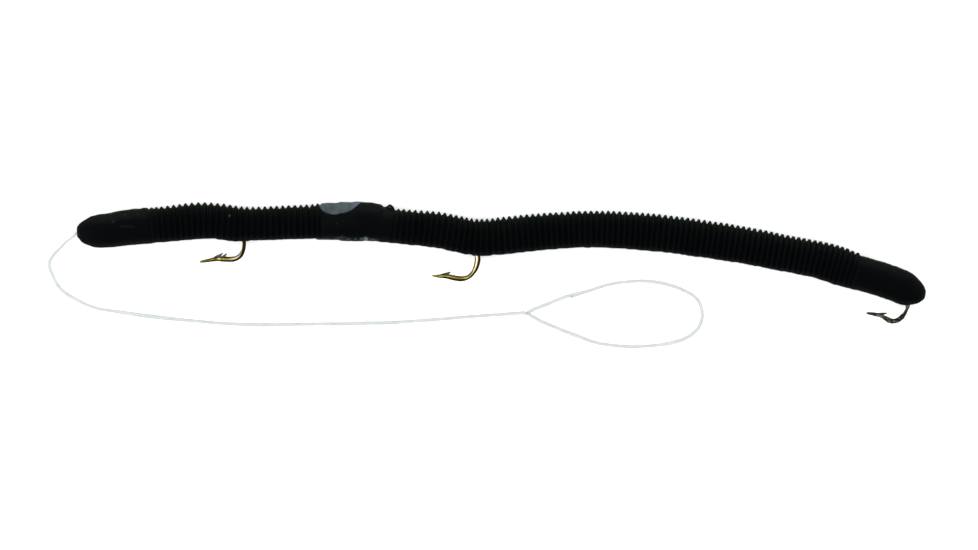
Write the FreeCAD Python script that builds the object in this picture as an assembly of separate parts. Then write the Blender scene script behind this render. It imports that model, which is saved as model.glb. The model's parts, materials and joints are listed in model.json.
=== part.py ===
import FreeCAD, Part
import math
import os

V = FreeCAD.Vector

# Soft plastic worm with three hooks on a knotted line, lying on its side. Millimetres.
# +X runs from nose to tail, +Y towards the worm's back, +Z up, with the rest surface at Z = 0.
# The soft body is one flexible casting. Here it is a chain of rigid lengths on ball knuckles,
# so that it can bend. The origin moves to the bottom centre of the whole object at the end.

# ---------------------------------------------------------------- driving dimensions
LINE_R = 0.20          # monofilament

WIRE_R = 0.36          # hook wire
POINT_R = 0.05         # left at the hook's tip
BARB_R = 0.26          # root of the barb
BARB_TIP_R = 0.03
EYE_R = 0.74           # hook eye, mean radius
EYE_WIRE_R = 0.30
SHANK_STEPS = 10       # equal steps that hold the hook's curve straight along the shank

SNELL_R = 0.60         # snell wrap, mean radius about the shank
SNELL_PITCH = 0.44
SNELL_TURNS = 6
SNELL_LEN = SNELL_PITCH * SNELL_TURNS
SNELL_START = 1.45     # from the eye's centre, along the shank

KNUCKLE_R = 2.20       # ball of a body knuckle
SOCKET_R = 2.29
END_GAP = 0.80         # half the open space between two body lengths at a knuckle
END_MARGIN = 0.2       # least distance from a cut end to the next section, nose and tail lengths
INNER_MARGIN = 0.7     # the same for the lengths between them

BORE_R = 0.26          # hole that the line takes through the body
SLOT_HALF = 0.43       # half the width of the slot that a hook takes through the body
SLOT_STEPS = 14        # straight steps along the slot's curve
COIL_POCKET_R = 0.92   # pocket round a snell wrap
COIL_MARGIN = 0.45     # pocket's length past each end of the wrap
EYE_POCKET_R = 1.16    # pocket round a hook eye
EYE_POCKET_HALF = 0.42 # half its height

FLAT_SHARE = 0.46      # height of the widest line above the belly, as a share of the section
BACK_POWER = 2.15      # roundness of the back
BELLY_POWER = 3.1      # squareness of the flat belly
SECTION_POINTS = 24    # points round a section

KNOT_R = 0.33          # loop knot
KNOT_LEN = 0.72
KNOT_START = V(6.78, -6.77, KNOT_R)

# ---------------------------------------------------------------- body tables
# Body sections: X, Y of the back, Y of the belly, Z of the middle, half width in Z
SECTIONS = [
    (-72.44, 8.68, 6.66, 3.74, 1.05), (-72.00, 9.29, 6.08, 3.74, 1.75),
    (-71.29, 9.78, 5.58, 3.74, 2.25), (-70.31, 10.31, 5.21, 3.74, 2.62),
    (-69.07, 10.69, 4.94, 3.73, 2.90), (-67.30, 11.02, 4.91, 3.72, 3.08),
    (-65.35, 11.36, 5.09, 3.71, 3.18), (-63.22, 11.66, 5.33, 3.70, 3.22),
    (-60.92, 11.84, 5.55, 3.70, 3.24), (-57.91, 12.10, 5.85, 3.61, 3.25),
    (-54.36, 12.56, 6.15, 3.43, 3.26), (-50.82, 12.79, 6.45, 3.29, 3.26),
    (-47.28, 12.63, 6.27, 3.27, 3.26), (-43.73, 12.23, 5.99, 3.28, 3.26),
    (-41.61, 12.07, 6.18, 3.29, 3.26), (-39.30, 12.14, 6.22, 3.30, 3.27),
    (-36.64, 12.28, 6.31, 3.31, 3.28), (-33.10, 12.47, 6.41, 3.31, 3.30),
    (-30.27, 12.65, 6.38, 3.51, 3.33), (-27.43, 12.71, 6.26, 3.85, 3.36),
    (-25.13, 12.88, 6.10, 3.99, 3.37), (-22.82, 12.97, 6.02, 3.99, 3.36),
    (-20.34, 12.81, 6.01, 4.00, 3.34), (-17.86, 12.40, 5.81, 4.00, 3.31),
    (-15.38, 11.85, 5.56, 4.00, 3.29), (-12.55, 11.50, 5.26, 4.01, 3.28),
    (-9.71, 11.23, 4.91, 4.02, 3.28), (-6.88, 10.84, 4.36, 4.02, 3.28),
    (-4.39, 10.37, 3.85, 4.02, 3.28), (-2.27, 9.99, 3.54, 4.02, 3.28),
    (-0.50, 9.92, 3.42, 4.02, 3.28), (1.28, 10.05, 3.54, 4.02, 3.28),
    (3.23, 10.26, 3.72, 4.02, 3.28), (6.24, 10.65, 4.06, 4.02, 3.28),
    (9.43, 10.90, 4.39, 4.02, 3.28), (12.97, 11.13, 4.71, 4.02, 3.28),
    (16.52, 11.31, 4.93, 4.02, 3.28), (20.95, 11.31, 4.87, 4.02, 3.28),
    (25.38, 11.11, 4.61, 4.02, 3.28), (29.81, 10.81, 4.20, 4.02, 3.28),
    (34.24, 10.28, 3.69, 4.02, 3.27), (38.67, 9.68, 3.07, 4.02, 3.26),
    (43.10, 9.05, 2.39, 4.02, 3.25), (47.53, 8.24, 1.61, 4.02, 3.24),
    (51.96, 7.35, 0.74, 4.02, 3.22), (56.39, 6.47, -0.14, 3.95, 3.20),
    (59.93, 5.78, -1.13, 3.70, 3.18), (63.47, 4.82, -2.16, 3.40, 3.15),
    (67.02, 3.40, -3.07, 3.15, 3.11), (70.03, 2.32, -4.04, 3.08, 3.06),
    (72.51, 1.49, -4.91, 3.06, 2.96), (74.28, 0.78, -5.37, 3.03, 2.80),
    (75.52, 0.04, -5.16, 3.02, 2.58), (76.41, -0.78, -4.89, 3.01, 2.25),
    (77.03, -1.51, -4.50, 3.00, 1.85), (77.51, -2.37, -3.93, 3.00, 1.15),
]

# Knuckle centres in X, Y, Z, from nose to tail
KNUCKLES = [
    (-63.22, 8.50, 3.70), (-39.30, 9.18, 3.30), (-20.34, 9.41, 4.00), (3.23, 6.99, 4.02),
    (20.95, 8.09, 4.02), (38.67, 6.37, 4.02), (56.39, 3.16, 3.95),
]

# Body lengths from nose to tail: name, joint at the nose end, joint at the tail end,
# hook that it carries, and line holes (points in X, Y, Z, run past the line's own ends)
LENGTHS = [
    ("worm_head", None, "socket", None,
     [[(-74.0, 7.15, 3.74), (-72.30, 7.36, 3.74), (-62.0, 8.66, 3.70)]]),
    ("worm_front", "ball", "socket", "front",
     [[(-66.2, 8.10, 3.75), KNUCKLES[0], (-58.26, 9.39, 3.39)],
      [(-54.30, 10.09, 3.40), (-45.60, 10.14, 3.35), (-39.0, 9.25, 3.28)]]),
    ("worm_saddle", "ball", "ball", None,
     [[(-42.0, 9.15, 3.20), KNUCKLES[1], KNUCKLES[2], (-17.5, 9.45, 4.09)]]),
    ("worm_mid", "socket", "ball", "mid",
     [[(-12.3, 8.18, 4.00), (-5.00, 6.92, 4.00), KNUCKLES[3], (6.0, 7.01, 4.02)],
      [(-19.5, 8.75, 4.00), (-16.0, 8.20, 4.00)]]),
    ("worm_rear_1", "socket", "ball", None,
     [[(3.4, 7.0, 4.02), KNUCKLES[4], (24.0, 8.28, 4.02)]]),
    ("worm_rear_2", "socket", "ball", None,
     [[(21.2, 8.07, 4.02), KNUCKLES[5], (41.6, 6.08, 4.02)]]),
    ("worm_rear_3", "socket", "ball", None,
     [[(38.9, 6.33, 4.02), KNUCKLES[6], (59.3, 2.63, 3.94)]]),
    ("worm_tail", "socket", None, "rear",
     [[(57.0, 3.10, 3.90), (60.70, 2.55, 3.20)],
      [(64.3, 1.98, 3.20), (67.35, 0.95, 3.20)]]),
]

# ---------------------------------------------------------------- hook table
# Each hook lies flat at height z. Its path runs in X, Y from the eye's centre, with the first
# three points along the shank, to the foot of the point. The barb runs from root to tip.
# "inside" counts the path points that the body's slot follows.
HOOKS = {
    "front": dict(
        z=3.40, inside=9,
        path=[(-58.26, 9.44), (-52.59, 9.47), (-46.21, 9.50), (-44.57, 9.16), (-43.56, 8.26),
              (-43.06, 7.02), (-42.97, 5.95), (-43.02, 4.89), (-43.22, 4.00), (-43.68, 3.26),
              (-44.44, 2.76), (-45.33, 2.59), (-46.57, 2.66), (-47.81, 2.76)],
        tip=(-50.64, 2.32), barb=[(-48.25, 2.73), (-46.82, 3.69)]),
    "mid": dict(
        z=4.00, inside=8,
        path=[(-16.00, 8.20), (-10.06, 7.16), (-4.47, 6.17), (-3.31, 5.74), (-2.37, 4.96),
              (-1.77, 3.92), (-1.56, 2.71), (-1.77, 1.51), (-2.37, 0.46), (-3.31, -0.32),
              (-4.47, -0.74), (-5.81, -0.60), (-7.12, -0.25)],
        tip=(-9.71, -0.14), barb=[(-7.58, -0.28), (-6.36, 0.39)]),
    "rear": dict(
        z=3.20, inside=8,
        path=[(60.70, 2.55), (66.13, 0.71), (71.98, -1.26), (73.27, -1.90), (74.12, -2.85),
              (74.53, -4.06), (74.60, -5.30), (74.46, -6.18), (74.11, -6.91), (73.50, -7.55),
              (72.74, -8.08), (72.01, -8.22), (71.18, -7.97), (69.94, -7.27)],
        tip=(67.37, -6.77), barb=[(69.41, -7.09), (70.76, -6.80)]),
}

# ---------------------------------------------------------------- line tables
# Straight runs of line inside the body, by piece: points in X, Y, Z
CORE_LINES = {
    "head": [[(-72.30, 7.36, 3.74), (-65.66, 8.20, 3.70)]],
    "front": [[KNUCKLES[0], (-59.45, 9.24, 3.40)],
              [(-53.65, 10.09, 3.40), (-45.60, 10.14, 3.35), (-41.74, 9.62, 3.31)]],
    "saddle": [[KNUCKLES[1], KNUCKLES[2]]],
    "mid": [[(-11.55, 8.05, 4.00), (-5.00, 6.92, 4.00), KNUCKLES[3]]],
    "rear_1": [[(5.70, 7.14, 4.02), KNUCKLES[4]]],
    "rear_2": [[(23.41, 7.85, 4.02), KNUCKLES[5]]],
    "rear_3": [[(41.10, 5.93, 4.02), KNUCKLES[6]]],
    "tag": [[(65.10, 1.71, 3.20), (67.20, 1.00, 3.20)]],
}

# Outside line from the nose down to the rest surface: X, Y, Z
LEADER_DROP = [
    (-72.58, 7.30, 3.74), (-73.11, 6.80, 3.52), (-74.34, 5.87, 2.80), (-75.72, 4.47, 1.66),
    (-76.94, 3.15, 0.78), (-77.48, 2.30, 0.36), (-77.58, 1.66, LINE_R),
]
# Outside line lying on the rest surface, piece by piece: X, Y
FLAT_LINES = {
    "leader_2": [(-77.58, 1.56), (-77.35, 0.73), (-76.99, -0.25), (-76.53, -1.13),
                 (-76.02, -2.02), (-75.36, -2.76), (-74.57, -3.42), (-73.01, -4.29)],
    "leader_3": [(-72.92, -4.34), (-71.38, -5.09), (-69.43, -5.88), (-67.83, -6.24),
                 (-65.88, -6.49), (-63.58, -6.82), (-61.50, -7.11)],
    "leader_4": [(-61.40, -7.13), (-57.02, -7.64), (-52.59, -8.06), (-48.16, -8.49),
                 (-43.73, -8.72), (-38.47, -8.79)],
    "leader_5": [(-38.37, -8.79), (-33.10, -8.72), (-27.78, -8.65), (-21.58, -8.56),
                 (-15.43, -8.29)],
    "leader_6": [(-15.33, -8.29), (-8.29, -7.76), (-1.20, -7.23), (3.23, -6.91), (6.72, -6.77)],
    "leader_loop": [
        (7.58, -6.99), (8.54, -7.69), (10.31, -8.56), (12.09, -9.30), (13.86, -10.03),
        (15.63, -10.70), (17.76, -11.48), (20.06, -12.12), (22.19, -12.47), (25.38, -12.67),
        (28.56, -12.55), (31.05, -12.30), (34.24, -11.50), (36.01, -10.56), (37.25, -9.32),
        (37.89, -8.04), (38.04, -6.89), (37.83, -5.65), (37.32, -4.50), (36.01, -3.42),
        (34.24, -2.52), (32.11, -1.77), (29.81, -1.28), (27.15, -1.06), (24.49, -1.19),
        (21.30, -1.74), (19.17, -2.37), (17.05, -3.08), (14.74, -3.60), (12.62, -4.31),
        (10.31, -5.25), (8.54, -5.97), (7.58, -6.55)],
    "loop_tag": [(21.12, -2.25), (19.17, -2.89), (17.05, -3.60), (15.45, -3.97),
                 (15.01, -4.18)],
}


# ---------------------------------------------------------------- helpers
def flat(points, z):
    return [V(x, y, z) for x, y in points]


def spline(points):
    curve = Part.BSplineCurve()
    curve.interpolate(points)
    return curve


def rod(start, end, radius):
    start, end = V(*start), V(*end)
    return Part.makeCylinder(radius, (end - start).Length, start, end - start)


def bent_rod(points, radius):
    """Round rod through straight points, with a ball at each bend."""
    shape = rod(points[0], points[1], radius)
    for start, end in zip(points[1:], points[2:]):
        shape = shape.fuse(rod(start, end, radius)).fuse(Part.makeSphere(radius, V(*start)))
    return shape.removeSplitter() if len(points) > 2 else shape


def pipe(points, radius):
    """Round wire swept along a smooth curve through the points."""
    curve = spline(points)
    tangent = curve.tangent(curve.FirstParameter)[0]
    ring = Part.Wire([Part.Circle(points[0], tangent, radius).toShape()])
    return Part.Wire([curve.toShape()]).makePipeShell([ring], True, False)


def largest(shape):
    return max(shape.Solids, key=lambda solid: solid.Volume)


# ---------------------------------------------------------------- hooks and snells
def shank_axis(hook):
    """The eye's centre and the direction from it along the shank."""
    eye, _, bend = flat(hook["path"][:3], hook["z"])
    return eye, (bend - eye).normalize()


def make_hook(hook):
    path = flat(hook["path"], hook["z"])
    start = path[0] + (path[1] - path[0]).normalize() * EYE_R
    bend, end = path[2], path[-1]
    shank = [start + (bend - start) * (i / SHANK_STEPS) for i in range(SHANK_STEPS + 1)]
    wire = pipe(shank + path[3:], WIRE_R)
    tip, root, barb_tip = flat([hook["tip"]] + hook["barb"], hook["z"])
    point = Part.makeCone(WIRE_R, POINT_R, (tip - end).Length, end, tip - end)
    barb = Part.makeCone(BARB_R, BARB_TIP_R, (barb_tip - root).Length, root, barb_tip - root)
    eye = Part.makeTorus(EYE_R, EYE_WIRE_R, path[0], V(0, 0, 1))
    return wire.fuse([Part.makeSphere(WIRE_R, end), point, barb, eye])


def make_snell(hook):
    """Line wrapped in a helix round the shank."""
    eye, along = shank_axis(hook)
    helix = Part.makeHelix(SNELL_PITCH, SNELL_LEN, SNELL_R)
    heading = V(0, SNELL_R, SNELL_PITCH / (2 * math.pi))
    ring = Part.Wire([Part.Circle(V(SNELL_R, 0, 0), heading, LINE_R).toShape()])
    coil = Part.Wire(helix.Edges).makePipeShell([ring], True, True)
    turn = FreeCAD.Rotation(V(0, 0, 1), along)
    coil.Placement = FreeCAD.Placement(eye + along * SNELL_START, turn)
    return coil


# ---------------------------------------------------------------- soft body
def section_wire(x, back, belly, mid_z, half_width):
    """Closed D-shaped wire across the body: a round back curve and a flatter belly curve."""
    widest = belly + FLAT_SHARE * (back - belly)
    points = []
    for i in range(SECTION_POINTS):
        angle = 2 * math.pi * i / SECTION_POINTS
        cos, sin = math.cos(angle), math.sin(angle)
        power = BACK_POWER if sin >= 0 else BELLY_POWER
        reach = (back - widest) if sin >= 0 else (widest - belly)
        z = mid_z + half_width * math.copysign(abs(cos) ** (2 / power), cos)
        y = widest + reach * math.copysign(abs(sin) ** (2 / power), sin)
        points.append(V(x, y, z))
    half = SECTION_POINTS // 2
    back_curve = spline(points[:half + 1])
    belly_curve = spline(points[half:] + points[:1])
    return Part.Wire([back_curve.toShape(), belly_curve.toShape()])


def section_at(x):
    """Section values at any X, interpolated between the table's rows."""
    for row, following in zip(SECTIONS, SECTIONS[1:]):
        if row[0] <= x <= following[0]:
            share = (x - row[0]) / (following[0] - row[0])
            return [x] + [a + share * (b - a) for a, b in zip(row[1:], following[1:])]


def body_loft(index):
    first, last = index == 0, index == len(LENGTHS) - 1
    x0 = SECTIONS[0][0] if first else KNUCKLES[index - 1][0] + END_GAP
    x1 = SECTIONS[-1][0] if last else KNUCKLES[index][0] - END_GAP
    margin = END_MARGIN if first or last else INNER_MARGIN
    between = [row for row in SECTIONS if x0 + margin < row[0] < x1 - margin]
    rows = [section_at(x0)] + between + [section_at(x1)]
    return Part.makeLoft([section_wire(*row) for row in rows], True, True)


def add_joint(body, joint, centre):
    if joint == "ball":
        return body.fuse(Part.makeSphere(KNUCKLE_R, V(*centre)))
    return body.cut(Part.makeSphere(SOCKET_R, V(*centre)))


def hook_slot(hook):
    """Square-cut slot along the hook's wire, from its eye to its last inside point."""
    path = flat(hook["path"][:hook["inside"]], hook["z"] - SLOT_HALF)
    curve = spline(path[2:])
    first, span = curve.FirstParameter, curve.LastParameter - curve.FirstParameter
    middle = [path[0], path[2]]
    middle += [curve.value(first + span * i / SLOT_STEPS) for i in range(1, SLOT_STEPS + 1)]
    left, right = [], []
    for i, point in enumerate(middle):
        heading = (middle[min(i + 1, len(middle) - 1)] - middle[max(i - 1, 0)]).normalize()
        side = V(-heading.y, heading.x, 0) * SLOT_HALF
        left.append(point + side)
        right.append(point - side)
    outline = Part.makePolygon(left + right[::-1] + left[:1])
    return Part.Face(outline).extrude(V(0, 0, 2 * SLOT_HALF))


def hook_pockets(hook):
    """Tools that clear the hook's wire, its snell wrap and its eye."""
    eye, along = shank_axis(hook)
    coil = Part.makeCylinder(COIL_POCKET_R, SNELL_LEN + 2 * COIL_MARGIN,
                             eye + along * (SNELL_START - COIL_MARGIN), along)
    ring = Part.makeCylinder(EYE_POCKET_R, 2 * EYE_POCKET_HALF,
                             eye - V(0, 0, EYE_POCKET_HALF), V(0, 0, 1))
    return [hook_slot(hook), coil, ring]


def make_length(index):
    _, nose_joint, tail_joint, hook_name, bores = LENGTHS[index]
    body = body_loft(index)
    if nose_joint:
        body = add_joint(body, nose_joint, KNUCKLES[index - 1])
    if tail_joint:
        body = add_joint(body, tail_joint, KNUCKLES[index])
    for points in bores:
        for start, end in zip(points, points[1:]):
            body = body.cut(rod(start, end, BORE_R))
    if hook_name:
        for tool in hook_pockets(HOOKS[hook_name]):
            body = body.cut(tool)
    return body


# ---------------------------------------------------------------- all pieces
parts = {}
for name, hook in HOOKS.items():
    parts["hook_" + name] = make_hook(hook)
    parts["snell_" + name] = make_snell(hook)
for name, runs in CORE_LINES.items():
    parts["core_line_" + name] = Part.makeCompound([bent_rod(run, LINE_R) for run in runs])
for index, length in enumerate(LENGTHS):
    parts[length[0]] = make_length(index)
parts["leader_1"] = pipe([V(*point) for point in LEADER_DROP], LINE_R)
for name, points in FLAT_LINES.items():
    parts[name] = pipe(flat(points, LINE_R), LINE_R)
parts["loop_knot"] = Part.makeCylinder(KNOT_R, KNOT_LEN, KNOT_START, V(1, 0, 0))

# ---------------------------------------------------------------- origin and export
box = FreeCAD.BoundBox()
for shape in parts.values():
    box.add(shape.optimalBoundingBox(True, False))
shift = V(-(box.XMin + box.XMax) / 2, -(box.YMin + box.YMax) / 2, -box.ZMin)

os.makedirs("parts", exist_ok=True)
for old in os.listdir("parts"):
    if old.endswith(".step"):
        os.remove(os.path.join("parts", old))
for name, shape in sorted(parts.items()):
    # the front core line is two separate runs, and every other piece is one solid
    if name == "core_line_front":
        shape = Part.makeCompound(shape.Solids)
    else:
        shape = largest(shape)
    shape.translate(shift)
    shape.exportStep(f"parts/{name}.step")
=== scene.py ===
# Soft plastic worm with three hooks and a looped leader, lying on its side on a white floor.
# Lengths are in millimetres: +X nose to tail, +Y towards the ribbed back, +Z up.
# place() moves points into the frame, in metres.
import bpy
import json
import numpy as np
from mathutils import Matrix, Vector

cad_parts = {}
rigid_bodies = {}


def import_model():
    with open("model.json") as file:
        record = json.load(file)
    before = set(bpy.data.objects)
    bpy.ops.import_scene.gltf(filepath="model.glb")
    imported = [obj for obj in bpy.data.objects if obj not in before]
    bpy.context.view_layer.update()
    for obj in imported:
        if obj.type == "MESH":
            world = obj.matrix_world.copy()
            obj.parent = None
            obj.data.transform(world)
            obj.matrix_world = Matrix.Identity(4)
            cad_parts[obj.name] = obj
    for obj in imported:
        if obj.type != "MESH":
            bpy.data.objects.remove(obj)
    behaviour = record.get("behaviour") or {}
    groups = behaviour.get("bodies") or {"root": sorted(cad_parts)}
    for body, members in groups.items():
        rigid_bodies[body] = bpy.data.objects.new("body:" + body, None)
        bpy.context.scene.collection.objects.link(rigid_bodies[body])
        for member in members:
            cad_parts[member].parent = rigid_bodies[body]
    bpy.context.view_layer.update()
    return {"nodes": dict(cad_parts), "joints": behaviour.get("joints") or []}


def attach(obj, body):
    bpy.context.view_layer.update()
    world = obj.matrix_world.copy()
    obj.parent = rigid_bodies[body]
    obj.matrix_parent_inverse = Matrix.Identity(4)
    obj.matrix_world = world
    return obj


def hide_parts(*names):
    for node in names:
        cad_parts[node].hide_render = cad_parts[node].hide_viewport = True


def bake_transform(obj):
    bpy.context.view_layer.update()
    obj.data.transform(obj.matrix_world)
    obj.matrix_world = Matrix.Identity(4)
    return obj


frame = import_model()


JOINT = {j["name"]: np.array(j["pos_m"]) * 1000 for j in frame["joints"]}
SHIFT = JOINT["bend_front"] - np.array([-39.30, 9.18, 3.30])


# ---------------------------------------------------------------- tables
def table(text):
    """Array from text: rows split by white space, columns by commas."""
    return np.array([[float(v) for v in row.split(",")] for row in text.split()])


# Outline of the back over the rib crests, nose to tail: X, Y
BACK = table("""
-72.65,7.83 -72.68,8.19 -72.54,8.52 -72.35,8.81 -72.12,9.08 -71.84,9.3 -71.56,9.51
-71.26,9.71 -70.97,9.9 -70.66,10.08 -70.36,10.25 -70.04,10.42 -69.69,10.47 -69.35,10.56
-69,10.65 -68.65,10.71 -68.3,10.76 -67.95,10.77 -67.6,10.82 -67.25,10.88 -66.9,10.94
-66.55,11 -66.21,11.1 -65.86,11.17 -65.52,11.26 -65.17,11.34 -64.82,11.38 -64.47,11.44
-64.12,11.49 -63.77,11.51 -63.41,11.55 -63.07,11.63 -62.72,11.68 -62.36,11.7 -62.01,11.7
-61.65,11.69 -61.29,11.7 -60.98,11.88 -60,11.9 -59.12,11.99 -58.24,12.06 -57.36,12.17
-56.39,12.31 -55.52,12.44 -54.64,12.55 -53.67,12.65 -52.7,12.74 -51.82,12.82 -50.93,12.86
-49.96,12.84 -49.07,12.8 -48.1,12.72 -47.22,12.65 -46.25,12.54 -45.29,12.4 -44.41,12.29
-43.44,12.2 -42.55,12.13 -41.67,12.1 -40.69,12.12 -39.8,12.16 -38.92,12.19 -37.94,12.23
-37.06,12.28 -36.09,12.32 -35.11,12.36 -34.14,12.39 -33.16,12.43 -32.19,12.49 -31.31,12.56
-30.42,12.63 -30.06,12.64 -29.74,12.8 -29.38,12.81 -29.04,12.69 -28.69,12.7 -28.34,12.73
-27.99,12.74 -27.63,12.72 -27.28,12.71 -26.93,12.71 -26.57,12.74 -26.23,12.8 -25.88,12.89
-25.52,12.9 -25.16,12.88 -24.81,12.87 -24.46,12.85 -24.11,12.83 -23.76,12.86 -23.41,12.94
-23.05,12.97 -22.7,12.97 -22.35,12.92 -21.99,12.87 -21.64,12.86 -21.29,12.85 -20.93,12.83
-20.58,12.82 -20.23,12.78 -19.88,12.7 -19.54,12.61 -19.19,12.52 -18.83,12.49 -18.55,12.29
-18.29,12.03 -17.95,12 -17.59,12.05 -17.24,11.96 -16.9,11.81 -16.57,11.71 -16.22,11.65
-15.23,11.7 -14.27,11.63 -13.38,11.55 -12.41,11.49 -11.52,11.44 -10.64,11.4 -9.76,11.33
-8.79,11.24 -7.82,11.1 -6.86,10.93 -6,10.75 -5.05,10.53 -4.09,10.33 -3.23,10.13
-2.35,10 -1.37,9.96 -0.49,9.95 0.49,10.03 1.37,10.13 2.25,10.22 3.13,10.3
4.1,10.41 4.98,10.51 5.86,10.62 6.83,10.71 7.71,10.79 8.59,10.87 9.57,10.94
10.45,11.01 11.42,11.06 12.4,11.12 13.28,11.15 14.17,11.2 15.14,11.25 16.11,11.3
17,11.31 17.88,11.34 18.86,11.35 19.83,11.36 20.72,11.35 21.6,11.34 22.49,11.31
23.46,11.26 24.43,11.2 25.41,11.13 26.38,11.08 27.26,11.03 28.24,10.96 29.12,10.89
30,10.82 30.97,10.72 31.85,10.6 32.73,10.49 33.61,10.38 34.49,10.27 35.45,10.15
36.33,10.03 37.3,9.9 38.26,9.75 39.22,9.62 40.1,9.48 41.07,9.35 42.03,9.21
42.99,9.04 43.86,8.88 44.82,8.71 45.69,8.55 46.56,8.39 47.44,8.24 48.4,8.07
49.26,7.89 50.22,7.69 51.08,7.5 51.95,7.32 52.82,7.13 53.77,6.94 54.64,6.78
55.6,6.6 56.47,6.44 57.34,6.28 58.22,6.13 59.17,5.95 60.04,5.76 60.99,5.54
61.84,5.32 62.7,5.08 63.62,4.78 64.52,4.43 65.32,4.02 66.03,3.84 66.22,3.75
66.42,3.52 66.7,3.28 67.05,3.19 67.4,3.13 67.74,3.03 68.07,2.9 68.41,2.81
68.74,2.69 69.08,2.57 69.43,2.5 69.77,2.43 70.12,2.33 70.46,2.24 70.79,2.11
71.12,1.99 71.45,1.87 71.77,1.71 72.11,1.6 72.46,1.55 72.79,1.42 73.12,1.29
73.44,1.14 73.77,1 74.1,0.87 74.44,0.76 74.76,0.62 75.07,0.44 75.38,0.26
75.66,0.06 75.92,-0.19 76.17,-0.44 76.42,-0.69 76.65,-0.96 76.9,-1.21 77.11,-1.5
77.32,-1.78 77.51,-2.07 77.63,-2.4 77.75,-2.74 77.81,-2.94""")
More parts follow.
